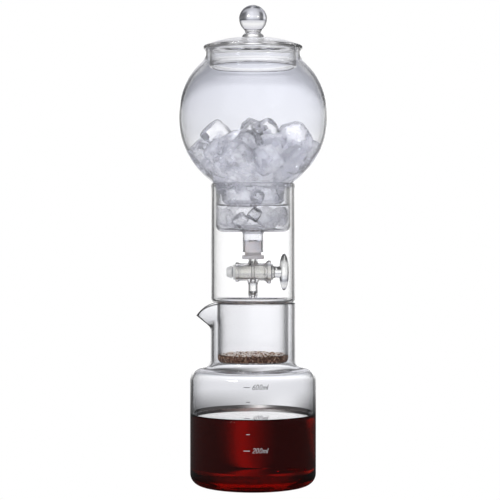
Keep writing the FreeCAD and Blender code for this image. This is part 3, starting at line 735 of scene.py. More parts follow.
# ---------------------------------------------------------------------------
# lid: plate, skirt and ball knob fused into one
# ---------------------------------------------------------------------------
LZ = 359.3
LB = 1.6
LR = 41.0
top_c = LZ + 1.2 + 6.6
KZ, KR = 384.6, 11.5
w_a = math.degrees(math.asin((KZ - 375.9) / KR))
sk_r, sk_w, sk_b = 36.1, 1.9, 344.9
sb = sk_w / 2 + 0.25
lid_prof = (
    arc(0.0, KZ, KR, 90, -w_a, 26)
    + spline([(math.sqrt(KR ** 2 - (KZ - 375.9) ** 2), 375.9), (6.75, 374.5), (6.35, 373.3), (7.5, 372.1),
              (8.55, 371.1), (8.95, 369.8), (9.25, 369.0), (10.6, 368.85)], 6)
    + spline([(12.0, top_c + 2.0 - 0.42), (22.0, top_c + 2.0 - 1.75), (31.0, top_c + 2.0 - 3.8), (38.4, LZ + 2 * LB)], 8)
    + arc(LR - LB, LZ + LB, LB, 88, -90, 14)
    + line((38.0, LZ), (37.4, LZ), 1)
    + arc(37.4, LZ - 1.3, 1.3, 90, 180, 5)
    + line((sk_r, LZ - 2.5), (sk_r, sk_b + 3.6), 6)
    + spline([(sk_r, sk_b + 3.0), (sk_r + 0.15, sk_b + sb), (sk_r - sb, sk_b), (sk_r - 2 * sb - 0.05, sk_b + sb + 0.2),
              (sk_r - sk_w, sk_b + 3.0)], 6, start=(0.0, -1.0), end=(0.0, 1.0))
    + line((sk_r - sk_w, sk_b + 3.6), (sk_r - sk_w, LZ - 1.5), 6)
    + spline([(sk_r - sk_w, LZ - 1.2), (33.4, LZ + 0.45), (30.0, LZ + 1.45), (22.0, top_c - 1.6), (12.0, top_c - 0.4),
              (0.0, top_c)], 7)
)
lid_prof[0] = (0.0, KZ + KR)
lid_prof[-1] = (0.0, top_c)
lid = lathe("lid_glass", lid_prof, GLASS_LID, 176)
put(lid, "lid", ("lid_plate", "lid_skirt", "lid_knob"))

# ---------------------------------------------------------------------------
# stopcock: barrel with the inlet and drip tubes, key with its handle, and the
# washer, O-ring and cap on the key's small end
# ---------------------------------------------------------------------------
VZ = 175.8
BX0, BX1, BAR_R = -14.5, 14.9, 7.2


def seat(x, clear=0.0):
    return 4.7 + 0.9 * (x - BX0) / (BX1 - BX0) - clear


def xlathe(name, prof_xr, mats, n=96):
    """Profile as (x, r) pairs, turned about the key's axis."""
    return lathe(name, [(r, x) for x, r in prof_xr], mats, n, "X", (0.0, VZ))


barrel = xlathe("valve_body_glass", [(BX0, 0.0), (BX0, 4.0), (BX0, 6.6)]
                + [(BX0 + 0.9 - 0.9 * math.cos(t), 7.2 + 0.9 * math.sin(t)) for t in np.linspace(0, pi / 2, 7)]
                + [(-13.0, 8.1)]
                + spline([(-12.6, 8.08), (-11.9, 7.82), (-11.2, 7.45), (-9.6, 7.2)], 5)
                + line((-8.0, 7.2), (8.2, 7.2), 10)
                + spline([(9.4, 7.22), (10.6, 7.9), (11.5, 9.1), (12.3, 9.55)], 5)
                + [(13.2, 9.6)]
                + [(BX1 - 0.9 + 0.9 * math.sin(t), 8.7 + 0.9 * math.cos(t)) for t in np.linspace(0, pi / 2, 7)]
                + [(BX1, 6.6), (BX1, 0.0)], GLASS_SOLID, 112)
inlet = lathe("inlet", [(0.0, VZ + 3.0), (5.4, VZ + 3.0), (5.35, VZ + 4.9)]
              + spline([(5.1, VZ + 5.9), (4.45, VZ + 7.0), (3.95, VZ + 8.0), (3.6, VZ + 9.2), (3.5, VZ + 10.6)], 5)
              + line((3.5, VZ + 12.0), (3.5, 201.8), 5) + arc(3.0, 201.9, 0.5, 0, 90, 5) + [(0.0, 202.4)], GLASS_SOLID, 72)
boolean(barrel, inlet, "UNION")
drip = lathe("drip", [(0.0, VZ - 3.0), (5.9, VZ - 3.0), (5.85, VZ - 4.6)]
             + spline([(5.6, VZ - 5.6), (5.0, VZ - 6.8), (4.5, VZ - 8.2), (4.15, VZ - 9.8), (4.0, VZ - 11.4)], 5)
             + line((3.98, VZ - 12.4), (3.86, 157.6), 5)
             + spline([(3.8, 156.7), (3.5, 155.5), (2.95, 154.5), (2.1, 153.7)], 5) + [(0.0, 153.7)], GLASS_SOLID, 72)
boolean(barrel, drip, "UNION")
bore = lathe("bore", [(0.0, 204.0), (1.7, 204.0)] + line((1.7, 202.0), (1.7, VZ - 6.9), 8)
             + spline([(1.75, VZ - 7.4), (2.3, VZ - 8.2), (2.75, VZ - 9.2), (2.8, VZ - 10.4)], 4)
             + line((2.8, VZ - 12.0), (2.8, 160.4), 4)
             + spline([(2.78, 159.9), (2.25, 158.5), (1.5, 157.5), (1.2, 156.4)], 5) + [(1.2, 152.0), (0.0, 152.0)],
             GLASS_SOLID, 56)
boolean(barrel, bore)
taper = xlathe("taper", [(-16.0, 0.0), (-16.0, seat(-16.0))] + line((-14.0, seat(-14.0)), (14.0, seat(14.0)), 8)
               + [(16.5, seat(16.5)), (16.5, 0.0)], GROUND, 96)
boolean(barrel, taper)
shade_by_angle(barrel, 38)
bm = bmesh.new()
bm.from_mesh(barrel.data)
gi_ = None
barrel.data.materials.clear()
barrel.data.materials.append(GLASS_SOLID)
barrel.data.materials.append(GROUND)
for f in bm.faces:
    c = f.calc_center_median() / MM
    rr = math.hypot(c.y, c.z - VZ)
    f.material_index = 1 if (BX0 < c.x < BX1 and rr < seat(c.x) + 0.02 and abs(f.normal.x) < 0.6
                             and math.hypot(c.x, c.y) > 1.9) else 0
bm.to_mesh(barrel.data)
bm.free()
put(barrel, "globe", ("valve_barrel", "valve_inlet_tube", "valve_drip_tube"))

ha, hb, hc = 4.05, 5.6, 15.15
HX = 25.65
key = xlathe("valve_key_glass", [(-20.6, 0.0), (-20.6, 2.3), (-20.3, 2.6), (-17.0, 2.6), (-14.4, 2.6)]
             + [(-14.4, 3.2), (-14.4, seat(-14.4, 0.35)), (-14.1, seat(-14.1, 0.05))]
             + line((-12.0, seat(-12.0, 0.05)), (12.0, seat(12.0, 0.05)), 10)
             + [(14.9, seat(14.9, 0.05)), (15.2, seat(14.9, 0.05)), (15.25, 6.4)]
             + spline([(15.5, 6.95), (15.9, 6.85), (16.5, 5.6), (17.4, 4.95), (18.2, 4.7), (20.0, 4.6), (21.6, 4.75),
                       (23.2, 4.95), (24.6, 5.0)], 5)
             + [(25.6, 4.6), (26.2, 3.2), (26.3, 0.0)], GLASS_SOLID, 96)
hv, hf = [], []
nu, nv = 72, 44
hv.append((HX, 0, VZ + hc))
for j in range(1, nv):
    t = pi * j / nv
    for i in range(nu):
        p = 2 * pi * i / nu
        hv.append((HX + ha * math.sin(t) * math.cos(p), hb * math.sin(t) * math.sin(p), VZ + hc * math.cos(t)))
hv.append((HX, 0, VZ - hc))
for i in range(nu):
    hf.append((0, 1 + i, 1 + (i + 1) % nu))
    hf.append((len(hv) - 1, 1 + (nv - 2) * nu + (i + 1) % nu, 1 + (nv - 2) * nu + i))
for j in range(nv - 2):
    for i in range(nu):
        k0, k1 = 1 + j * nu, 1 + (j + 1) * nu
        hf.append((k0 + i, k1 + i, k1 + (i + 1) % nu, k0 + (i + 1) % nu))
handle = make_obj("handle", hv, hf, GLASS_SOLID)
boolean(key, handle, "UNION")
kb = lathe("kbore", [(0.0, VZ - 9.0), (1.5, VZ - 9.0), (1.5, VZ + 9.0), (0.0, VZ + 9.0)], GLASS_SOLID, 40)
boolean(key, kb)
shade_by_angle(key, 38)
bm = bmesh.new()
bm.from_mesh(key.data)
key.data.materials.clear()
key.data.materials.append(GLASS_SOLID)
key.data.materials.append(GROUND)
for f in bm.faces:
    c = f.calc_center_median() / MM
    rr = math.hypot(c.y, c.z - VZ)
    f.material_index = 1 if (-14.2 < c.x < 14.95 and rr > seat(c.x, 0.35)) else 0
bm.to_mesh(key.data)
bm.free()
put(key, "valve_key", ("valve_key", "valve_handle"))

washer = xlathe("key_washer_plastic", [(-16.28, 2.65), (-16.28, 6.0), (-16.1, 6.22), (-15.85, 6.3), (-15.2, 6.3),
                                       (-14.95, 6.22), (-14.82, 6.0), (-14.82, 2.65)], PLASTIC, 72)
put(washer, "valve_key", ("key_washer",))
oring = xlathe("key_o_ring_rubber", [(-16.9 + 0.58 * math.cos(t), 3.9 + 0.58 * math.sin(t))
                                     for t in np.linspace(0, 2 * pi, 20, endpoint=False)]
               , RUBBER, 72)
put(oring, "valve_key", ("key_o_ring",))
cap_prof = ([(-22.0, 0.0), (-22.0, 2.6), (-21.93, 3.0), (-21.75, 3.6), (-21.4, 3.9), (-21.0, 3.98)]
            + line((-20.4, 4.2), (-18.4, 5.05), 4)
            + [(-18.1, 5.16), (-17.8, 5.18), (-17.6, 5.08), (-17.52, 4.85), (-17.52, 2.66), (-20.55, 2.66), (-20.64, 2.5), (-20.64, 0.0)])
cap = xlathe("key_cap_plastic", cap_prof, PLASTIC, 84)
bm = bmesh.new()
bm.from_mesh(cap.data)
for v in bm.verts:
    x, y, z = v.co.x / MM, v.co.y / MM, v.co.z / MM - VZ
    r = math.hypot(y, z)
    if r > 3.5 and -21.6 < x < -17.6:
        # shallow grip flutes round the cap
        k = 1.0 - 0.030 * (0.5 + 0.5 * math.cos(14 * math.atan2(z, y)))
        v.co.y, v.co.z = y * k * MM, (z * k + VZ) * MM
bm.to_mesh(cap.data)
bm.free()
put(cap, "valve_key", ("key_retaining_cap",))

# silicone stopper between the stub and the inlet tube
stopper = lathe("stopper_silicone", [(3.46, 201.2), (3.7, 201.4), (6.3, 201.4)]
                + spline([(6.6, 201.3), (6.85, 200.8), (6.94, 200.2)], 3)
                + line((6.94, 199.0), (6.94, 192.6), 4)
                + [(6.94, 192.25), (6.82, 192.1), (6.8, 191.8), (6.8, 190.1), (6.9, 189.8), (7.2, 189.7), (8.5, 189.7)]
                + arc(8.6, 189.2, 0.5, 90, 0, 5) + arc(8.6, 187.0, 0.5, 0, -90, 5)
                + [(6.0, 186.5), (3.8, 186.5), (3.46, 186.75)] + line((3.46, 188.5), (3.46, 199.5), 5), SILICONE, 112)
put(stopper, "globe", ("silicone_stopper",))

# ---------------------------------------------------------------------------
# filter disc: the CAD pieces stay, in brushed and woven steel
# ---------------------------------------------------------------------------
for node, mat in (("filter_mesh", STEEL_MESH), ("filter_rim", STEEL)):
    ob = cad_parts[node]
    ob.data.materials.clear()
    ob.data.materials.append(mat)

# ---------------------------------------------------------------------------
# printed scale, lying on the front of the carafe
# ---------------------------------------------------------------------------
PR = CAR_R + 0.02


def wrap(me_verts, off=0.0):
    out = []
    for x, z in me_verts:
        out.append((x, -math.sqrt((PR + off) ** 2 - x * x), z))
    return out


pv, pf = [], []


def add_flat(verts2, polys):
    """Prints a flat drawing on the wall, as a thin closed layer."""
    base = len(pv)
    n = len(verts2)
    pv.extend(wrap(verts2, 0.06))
    pv.extend(wrap(verts2, 0.0))
    edges = {}
    for p in polys:
        pf.append(tuple(base + i for i in p))
        pf.append(tuple(base + n + i for i in reversed(p)))
        for i in range(len(p)):
            e = (p[i], p[(i + 1) % len(p)])
            edges[e] = edges.get(e, 0) + 1
    for (i, j), c in list(edges.items()):
        if (j, i) not in edges:
            pf.append((base + j, base + i, base + n + i, base + n + j))


for i, z in enumerate((34.6, 47.7, 60.6, 73.5, 85.2)):
    w = 5.0 if i % 2 == 0 else 3.0
    x0 = -7.6 + (5.0 - w)
    xs = np.linspace(x0, x0 + w, 9)
    vs = [(x, z - 0.24) for x in xs] + [(x, z + 0.24) for x in xs]
    add_flat(vs, [(k, k + 1, k + 10, k + 9) for k in range(8)])


def ring_pts(cx, cy, rx, ry, a0, a1, n=14):
    return [(cx + rx * math.cos(math.radians(a0 + (a1 - a0) * i / n)), cy + ry * math.sin(math.radians(a0 + (a1 - a0) * i / n)))
            for i in range(n + 1)]


# pen strokes of each sign in a box 1 high; the number is how far the next sign is
PEN = {
    "0": ([ring_pts(0.27, 0.5, 0.225, 0.48, 90, 450, 22)], 0.74),
    "2": ([ring_pts(0.28, 0.74, 0.24, 0.24, 170, -28, 12) + [(0.04, 0.02), (0.54, 0.02)]], 0.69),
    "4": ([[(0.40, 0.0), (0.40, 0.98), (0.02, 0.30), (0.56, 0.30)]], 0.69),
    "6": ([[(0.46, 0.98), (0.26, 0.80), (0.09, 0.52)] + ring_pts(0.28, 0.27, 0.23, 0.27, 150, 510, 20)], 0.69),
    "m": ([[(0.04, 0.0), (0.04, 0.60)], ring_pts(0.20, 0.40, 0.16, 0.18, 180, 0, 8) + [(0.36, 0.0)],
           ring_pts(0.52, 0.40, 0.16, 0.18, 180, 0, 8) + [(0.68, 0.0)]], 0.86),
    "l": ([[(0.05, 1.0), (0.05, 0.10), (0.14, 0.0)]], 0.3),
}


def pen_stroke(pts, w):
    left, right = [], []
    for i, q in enumerate(pts):
        p0, p1 = pts[max(i - 1, 0)], pts[min(i + 1, len(pts) - 1)]
        dx, dy = p1[0] - p0[0], p1[1] - p0[1]
        d = math.hypot(dx, dy) or 1.0
        nx, ny = -dy / d * w / 2, dx / d * w / 2
        left.append((q[0] + nx, q[1] + ny))
        right.append((q[0] - nx, q[1] - ny))
    n = len(pts)
    add_flat(left + right, [(i, n + i, n + i + 1, i + 1) for i in range(n - 1)])


for z, word in ((34.6, "200ml"), (60.6, "400ml"), (85.2, "600ml")):
    x = -0.35
    h = 4.0
    for ch in word:
        strokes, adv = PEN[ch]
        for st in strokes:
            pen_stroke([(x + (u * 0.98 + (v - 0.5) * 0.24) * h, z - 1.75 + v * h) for u, v in st], 0.36 if z < 50 else 0.48)
        x += adv * h * 0.97
prints = make_obj("scale_print", pv, pf, PRINT, smooth=False)
put(prints, "carafe", ("graduation_marks",))

# ---------------------------------------------------------------------------
# brewed coffee in the carafe; it laps 0.12 mm into the wall, as liquid wets glass
# ---------------------------------------------------------------------------
CZ = 57.6
wet = 0.12
cof = [(0.0, floor_z - wet), (6.0, floor_z - wet), (18.0, floor_z - wet)]
cof += [(r, z - wet) for r, z in spline([(24.0, 4.2), (32.0, 3.95), (39.0, 3.74)], 4)]
cof += [(r + wet * math.cos(a), z + wet * math.sin(a)) for (r, z), a in
        zip(arc(ri - 7.0, floor_z - 0.5 + 7.0, 7.0, -90, 0, 14), np.linspace(-pi / 2, 0, 15))]
cof += line((ri + wet, 13.0), (ri + wet, CZ - 1.0), 12)
cof += [(ri + wet, CZ + 2.8), (ri - 0.02, CZ + 2.85)] + [(ri - d, CZ + 2.75 * math.exp(-d / 1.05)) for d in
                                                        (0.1, 0.3, 0.6, 1.0, 1.5, 2.1, 2.9, 4.0, 5.4, 7.4)]
cof += [(r, CZ) for r in (41.0, 32.0, 22.0, 10.0)] + [(0.0, CZ)]
coffee = lathe("coffee", cof, COFFEE, 176)
for v in coffee.data.vertices:
    if v.co.z > (CZ + 0.001) * MM:
        k = min(max((v.co.y / MM + 16.0) / 24.0, 0.0), 1.0)
        v.co.z = CZ * MM + (v.co.z - CZ * MM) * (0.62 + 0.38 * k * k * (3 - 2 * k))
coffee.data.materials.append(COFFEE_FILM)
for f in coffee.data.polygons:
    if f.center.z > (CZ + 0.12) * MM and f.center.y > 0.004:
        f.material_index = 1
put(coffee, "carafe")

# ---------------------------------------------------------------------------
# coffee grounds on the filter disc
# ---------------------------------------------------------------------------
rnd = random.Random(11)
GR = 27.2


def bed(x, y):
    v = Vector((x * 0.09, y * 0.09, 3.1))
    r = math.hypot(x, y)
    return 107.3 + 0.9 * noise.noise(v) + 0.55 * noise.noise(v * 3.1) + 0.3 * noise.noise(v * 9.0) + 0.5 * (r / GR) ** 4


gv, gf = [], []
rr_list = [0.0] + [GR * math.sqrt(k / 40.0) for k in range(1, 41)]
n_g = 150
rows_g = []
for r in rr_list:
    if r == 0:
        rows_g.append([len(gv)])
        gv.append((0, 0, bed(0, 0)))
    else:
        st = len(gv)
        for i in range(n_g):
            a = 2 * pi * i / n_g
            x, y = r * math.cos(a), r * math.sin(a)
            gv.append((x, y, bed(x, y)))
        rows_g.append(list(range(st, st + n_g)))
corner = [(24.35 + 2.84 * math.cos(a), 105.6 + 2.84 * math.sin(a)) for a in np.linspace(0, -1.18, 8)]
for r, z in [(GR, 106.4)] + corner + [(25.12, 103.05), (25.1, 104.4), (24.9, 104.62), (20.0, 104.62)]:
    st = len(gv)
    for i in range(n_g):
        a = 2 * pi * i / n_g
        wob = 1.0
        gv.append((r * wob * math.cos(a), r * wob * math.sin(a), z))
    rows_g.append(list(range(st, st + n_g)))
rows_g.append([len(gv)])
gv.append((0, 0, 104.62))
for A, B in zip(rows_g[:-1], rows_g[1:]):
    for i in range(n_g):
        j = (i + 1) % n_g
        if len(A) == 1:
            gf.append((A[0], B[i], B[j]))
        elif len(B) == 1:
            gf.append((A[i], B[0], A[j]))
        else:
            gf.append((A[i], B[i], B[j], A[j]))
grounds = make_obj("coffee_grounds_bed", gv, gf, GROUNDS)
put(grounds, "filter")

ico = bmesh.new()
bmesh.ops.create_icosphere(ico, subdivisions=1, radius=1.0)
ico_v = [tuple(v.co) for v in ico.verts]
ico_f = [tuple(v.index for v in f.verts) for f in ico.faces]
ico.free()
cv, cf, cm = [], [], []
for k in range(2300):
    r = GR * math.sqrt(rnd.random()) - 0.75
    if k > 1750:
        r = GR - 0.8 - rnd.random() * 0.5
    a = rnd.random() * 2 * pi
    x, y = max(r, 0) * math.cos(a), max(r, 0) * math.sin(a)
    s = 0.38 + 0.66 * rnd.random() ** 1.7
    if k > 1750:
        z = 105.2 + rnd.random() * (bed(x, y) - 105.2)
        s = min(s, 0.55)
    else:
        z = bed(x, y) + s * 0.25
    q = Matrix.Rotation(rnd.random() * 6.28, 3, "X") @ Matrix.Rotation(rnd.random() * 6.28, 3, "Z")
    base = len(cv)
    sx, sy, sz = s * (0.8 + 0.5 * rnd.random()), s * (0.7 + 0.5 * rnd.random()), s * (0.5 + 0.4 * rnd.random())
    for v in ico_v:
        w = q @ Vector((v[0] * sx, v[1] * sy, v[2] * sz)) * (0.8 + 0.35 * rnd.random())
        cv.append((x + w.x, y + w.y, z + w.z))
    t = rnd.random()
    # painted light and shade: grains on top are mostly pale, as lit from above, and those down the side mostly dark
    if k > 1750:
        mi = 0 if t < 0.60 else (1 if t < 0.92 else 2)
    else:
        mi = 0 if t < 0.26 else (1 if t < 0.42 else 2)
    for f in ico_f:
        cf.append(tuple(base + i for i in f))
        cm.append(mi)
chunks = make_obj("coffee_grounds_loose", cv, cf, [GROUNDS, GROUNDS_TAN, GROUNDS_GLINT], smooth=False, recalc=False)
chunks.data.polygons.foreach_set("material_index", cm)
put(chunks, "filter")

# ---------------------------------------------------------------------------
# ice and meltwater in the globe
# ---------------------------------------------------------------------------
inner = [(0.0, 211.4), (25.3, 211.4), (27.2, 212.05), (GI - 0.45, 213.4), (GI, 215.2), (GI, 240.0)] + \
        [tuple(q) for q in g_in[::-1]]
INZ = np.array([q[1] for q in inner[1:]])
INR = np.array([q[0] for q in inner[1:]])


def in_r(z):
    return float(np.interp(z, INZ, INR))


def cube_mesh(size, seed, milky):
    """One ice cube: a rounded block with melted corners, chips and soft dents."""
    rc = random.Random(seed)
    n = 11
    idx, vs, fs = {}, [], []

    def vid(i, j, k):
        key_ = (i, j, k)
        if key_ not in idx:
            idx[key_] = len(vs)
            v = Vector((2 * i / n - 1, 2 * j / n - 1, 2 * k / n - 1))
            v = Vector([math.sin(c * pi / 2) * 0.35 + c * 0.65 for c in v])
            p = 5.0 if milky else 7.5
            m_ = (abs(v.x) ** p + abs(v.y) ** p + abs(v.z) ** p) ** (1 / p)
            vs.append(v / m_)
        return idx[key_]
    for a_ in range(n):
        for b_ in range(n):
            for lo in (0, n):
                q1 = [(lo, a_, b_), (lo, a_ + 1, b_), (lo, a_ + 1, b_ + 1), (lo, a_, b_ + 1)]
                q2 = [(a_, lo, b_), (a_ + 1, lo, b_), (a_ + 1, lo, b_ + 1), (a_, lo, b_ + 1)]
                q3 = [(a_, b_, lo), (a_ + 1, b_, lo), (a_ + 1, b_ + 1, lo), (a_, b_ + 1, lo)]
                for q in (q1, q2, q3):
                    fs.append(tuple(vid(*c) for c in q))
    h = [size * 0.5 * (0.9 + 0.2 * rc.random()) for _ in range(3)]
    tp = 0.10 + 0.06 * rc.random()
    out = []
    off = Vector((rc.random() * 50, rc.random() * 50, rc.random() * 50))
    planes = []
    for _ in range(5):
        d = Vector((rc.choice((-1, 1)) * (0.5 + rc.random()), rc.choice((-1, 1)) * (0.5 + rc.random()),
                    rc.choice((-1, 1)) * (0.5 + rc.random()))).normalized()
        planes.append((d, 1.02 + 0.28 * rc.random()))
    for v in vs:
        v = v.copy()
        for d, dist in planes:
            e = v.dot(d) - dist
            if e > 0:
                v -= d * e * 0.92
        w = Vector((v.x * h[0] * (1 - tp * v.z), v.y * h[1] * (1 - tp * v.z), v.z * h[2]))
        nn = v.normalized()
        w += nn * (1.1 * noise.noise(w * 0.085 + off) + 0.42 * noise.noise(w * 0.23 + off)
                   + 0.14 * noise.noise(w * 0.6 + off))
        out.append(w)
    return out, fs


# cubes whose place shows in the photo: x, y, z, size, lean about X, Y and Z in degrees, milky
FRONT = [
    (-28.5, -12.0, 287.6, 22.0, 18, 42, 15, 0),
    (-0.5, 8.0, 292.4, 18.0, 25, 12, 38, 0),
    (11.5, -6.0, 291.5, 20.5, 30, 41, 20, 0),
    (34.0, -9.0, 286.0, 25.0, 10, -17, 22, 1),
    (-24.5, -30.0, 273.0, 23.0, 22, 34, 20, 1),
    (-4.0, -26.0, 281.0, 20.0, 12, -24, 40, 0),
    (11.0, -36.0, 268.0, 22.0, 18, -32, 12, 1),
    (34.0, -31.0, 267.0, 21.0, 30, 20, 45, 1),
]
# cubes of the frozen mass that shape its outline
SIDES = [
    (-39.5, -7.0, 272.5, 23.0, 12, 40, 12, 1),
    (-45.0, 4.0, 268.0, 18.0, 30, 20, 50, 1),
    (45.5, 0.0, 274.0, 22.0, 8, 14, 60, 1),
]
# clear cubes that stand against the front of the cup's wall
CUP_FRONT = [
    (-9.5, -19.0, 218.5, 10.5, 20, 40, 15, 0),
    (11.5, -18.5, 220.5, 15.0, 35, 20, 40, 1),
    (-20.5, -13.5, 220.5, 12.5, 10, 30, 50, 1),
    (1.5, -21.5, 223.0, 9.0, 25, 35, 10, 0),
    (21.5, -12.0, 222.0, 12.0, 40, 15, 30, 1),
    (4.0, -21.5, 237.5, 10.0, 25, 35, 10, 0),
]


def heap_top(x, y):
    r = math.hypot(x, y)
    return 290.0 - 0.0046 * r * r - (4.0 if y > 0 else 0.0)


FILL, CUP = list(SIDES), []
rc = random.Random(41)
for _ in range(9000):
    z = 217.0 + rc.random() * 74.0
    lim = in_r(z) - 8.5
    a = rc.random() * 2 * pi
    r = math.sqrt(rc.random()) * max(lim, 1.0)
    x, y = r * math.cos(a), r * math.sin(a)
    if z > heap_top(x, y) - 5.0:
        continue
    near_ = min((math.sqrt((x - c[0]) ** 2 + (y - c[1]) ** 2 + (z - c[2]) ** 2) for c in FRONT + FILL + CUP), default=99)
    if near_ < 15.5:
        continue
    if z < 236 and (y < -6 or z > 226):
        continue
    c = (x, y, z, 21.0 + 3.0 * rc.random() if z > 246 else 19.0 + 2.0 * rc.random(),
         rc.random() * 90, rc.random() * 90, rc.random() * 90, 1)
    (FILL if z >= 236.0 else CUP).append(c)


def pile(name, cubes, seed, mats):
    """Loose cubes, each a closed shape of its own."""
    vs_all, fs_all, mi_all = [], [], []
    for k, (x, y, z, size, ax, ay, az, milky) in enumerate(cubes):
        vs, fs = cube_mesh(size, seed + k * 7, milky)
        rot = (Matrix.Rotation(math.radians(az), 3, "Z") @ Matrix.Rotation(math.radians(ay), 3, "Y")
               @ Matrix.Rotation(math.radians(ax), 3, "X"))
        base = len(vs_all)
        for v in vs:
            w = rot @ v + Vector((x, y, z))
            zz = max(w.z, 211.8)
            lim = in_r(zz) + 0.22
            r = math.hypot(w.x, w.y)
            if r > lim - 1.5:
                # pressed and melted against the wall
                e = r - (lim - 1.5)
                rn = min(lim - 1.5 + 1.5 * (1 - math.exp(-e / 1.5)), lim - 0.12)
                w.x, w.y = w.x * rn / r, w.y * rn / r
            vs_all.append((w.x, w.y, zz))
        for f in fs:
            fs_all.append(tuple(base + i for i in f))
            mi_all.append(1 if milky else 0)
    ob = make_obj(name, vs_all, fs_all, mats)
    ob.data.polygons.foreach_set("material_index", mi_all)
    shade_by_angle(ob, 24)
    return ob


def frozen(name, cubes, seed, core, mat, z_lo, z_hi):
    """Cubes frozen together: one skin round all of them and the slush between them."""
    ob = pile(name, cubes, seed, [mat])
    ob.data.polygons.foreach_set("material_index", [0] * len(ob.data.polygons))
    inside = lathe("slush", core, mat, 64)
    bm = bmesh.new()
    bm.from_mesh(ob.data)
    bm.from_mesh(inside.data)
    bm.to_mesh(ob.data)
    bm.free()
    bpy.data.objects.remove(inside, do_unlink=True)
    m = ob.modifiers.new("r", "REMESH")
    m.mode = "VOXEL"
    m.voxel_size = 0.0006
    m.use_smooth_shade = True
    bpy.context.view_layer.update()
    me = bpy.data.meshes.new_from_object(ob.evaluated_get(bpy.context.evaluated_depsgraph_get()))
    ob.modifiers.remove(m)
    old = ob.data
    ob.data = me
    bpy.data.meshes.remove(old)
    me.name = name
    if not me.materials:
        me.materials.append(mat)
    bm = bmesh.new()
    bm.from_mesh(me)
    for v in bm.verts:
        x, y, z = v.co / MM
        z = min(max(z, z_lo), z_hi)
        r = math.hypot(x, y)
        lim = in_r(z)
        if r > lim - 0.75 and r > 0.1:
            # flat against the wall
            x, y = x * (lim + 0.08) / r, y * (lim + 0.08) / r
        v.co = Vector((x, y, z)) * MM
    bm.to_mesh(me)
    bm.free()
    shade_by_angle(ob, 30)
    put(ob, "globe")
    return ob


top = pile("ice_heap", FRONT, 300, [ICE, ICE_MILKY])
put(top, "globe")
slush = [(0.0, 232.0), (23.0, 232.0), (25.6, 234.5), (25.7, 245.0), (26.0, 246.5)] + [(in_r(z) - 1.2, float(z)) for z in np.linspace(248.5, 262.0, 10)]
slush += [(in_r(265.0) - 5.0, 266.0), (34.0, 272.0), (24.0, 277.0), (12.0, 280.0), (0.0, 281.0)]
frozen("ice_heap_lower", FILL, 500, slush, ICE_MILKY, 229.0, 300.0)
slush = [(0.0, 214.5), (13.0, 214.5), (15.0, 217.5), (16.0, 228.0), (0.0, 228.5)]
frozen("ice_in_cup", CUP, 700, slush, ICE_WET, 211.6, 229.2)
facets = pile("ice_cup_facets", CUP_FRONT, 820, [ICE, ICE_WET])
put(facets, "globe")

kv, kf = [], []
for k, (x, y, z, size, ax, ay, az, milky) in enumerate(FRONT[:1] + FRONT[2:3] + FRONT[6:7]):
    rc = random.Random(900 + k)
    bmk = bmesh.new()
    bmesh.ops.create_icosphere(bmk, subdivisions=3, radius=1.0)
    base = len(kv)
    s = size * 0.20
    off = Vector((rc.random() * 60, rc.random() * 60, 0))
    for v in bmk.verts:
        w = v.co.normalized()
        w = w * s * (1 + 0.55 * noise.noise(w * 1.3 + off) + 0.3 * noise.noise(w * 3.1 + off))
        kv.append((x + w.x, y + w.y, z - 2.0 + w.z * 0.9))
    for f in bmk.faces:
        kf.append(tuple(base + v.index for v in f.verts))
    bmk.free()
cloud = make_obj("ice_cloudy_cores", kv, kf, ICE_CLOUD)
put(cloud, "globe")

WZ = 229.6
wat = [(0.0, 202.46), (3.3, 202.46), (3.45, 202.3), (3.45, 201.36), (7.05, 201.36)]
wat += line((7.05, 203.0), (7.05, 209.6), 4)
wat += [(8.65 + 1.65 * math.cos(a), 209.75 + 1.65 * math.sin(a)) for a in np.linspace(pi, pi / 2, 6)]
wat += [(12.0, 211.3), (22.0, 211.3), (25.3, 211.3)]
wat += spline([(25.5, 211.32), (27.3, 211.97), (GI - 0.35, 213.35), (GI + 0.1, 215.1)], 5)
wat += line((GI + 0.1, 217.0), (GI + 0.1, WZ + 1.9), 5)
wat += [(GI - 0.02, WZ + 1.94)] + [(GI - d, WZ + 1.9 * math.exp(-d / 1.4)) for d in (0.1, 0.35, 0.7, 1.2, 1.9, 3.0, 4.5)]
wat += [(20.0, WZ), (10.0, WZ), (0.0, WZ)]
water = lathe("meltwater", wat, WATER, 160)
put(water, "globe")

# ---------------------------------------------------------------------------
# floor, world and light: a white sweep with bright panels behind and dark gaps between them
# ---------------------------------------------------------------------------
def azimuth(nt, x, y):
    at = nt.nodes.new("ShaderNodeMath")
    at.operation = "ARCTAN2"
    nt.links.new(x, at.inputs[0])
    nt.links.new(y, at.inputs[1])
    return map_range(nt, at.outputs[0], -pi, pi, 0.0, 1.0)


def lobe_stops(stops):
    return [((q[0] + 180.0) / 360.0, (q[1], q[1], q[1])) for q in stops]


def by_azimuth(nt, x, y, stops):
    return add_ramp(nt, azimuth(nt, x, y), lobe_stops(stops))


def lobes(low, front, sides=0.9):
    """Brightness by direction: the panel straight behind, and the panels that stand at other sides."""
    v = sides or low
    side = [(-180, low), (-106, low), (-97, v), (-83, v), (-74, low), (-58, low), (-51, v), (-39, v), (-32, low)]
    rest = [(116, low), (126, v), (144, v), (154, low), (180, low)]
    return [(d, q, 1.0) for d, q in side + front + rest]


def pick(nt, flag, a, b):
    """Colour a, or b where the flag is 1."""
    m = nt.nodes.new("ShaderNodeMix")
    m.data_type = "RGBA"
    nt.links.new(flag, m.inputs[0])
    nt.links.new(a, m.inputs[6])
    nt.links.new(b, m.inputs[7])
    return m.outputs[2]


def times(nt, a, b):
    m = nt.nodes.new("ShaderNodeMix")
    m.data_type = "RGBA"
    m.blend_type = "MULTIPLY"
    m.inputs[0].default_value = 1.0
    nt.links.new(a, m.inputs[6])
    nt.links.new(b, m.inputs[7])
    return m.outputs[2]


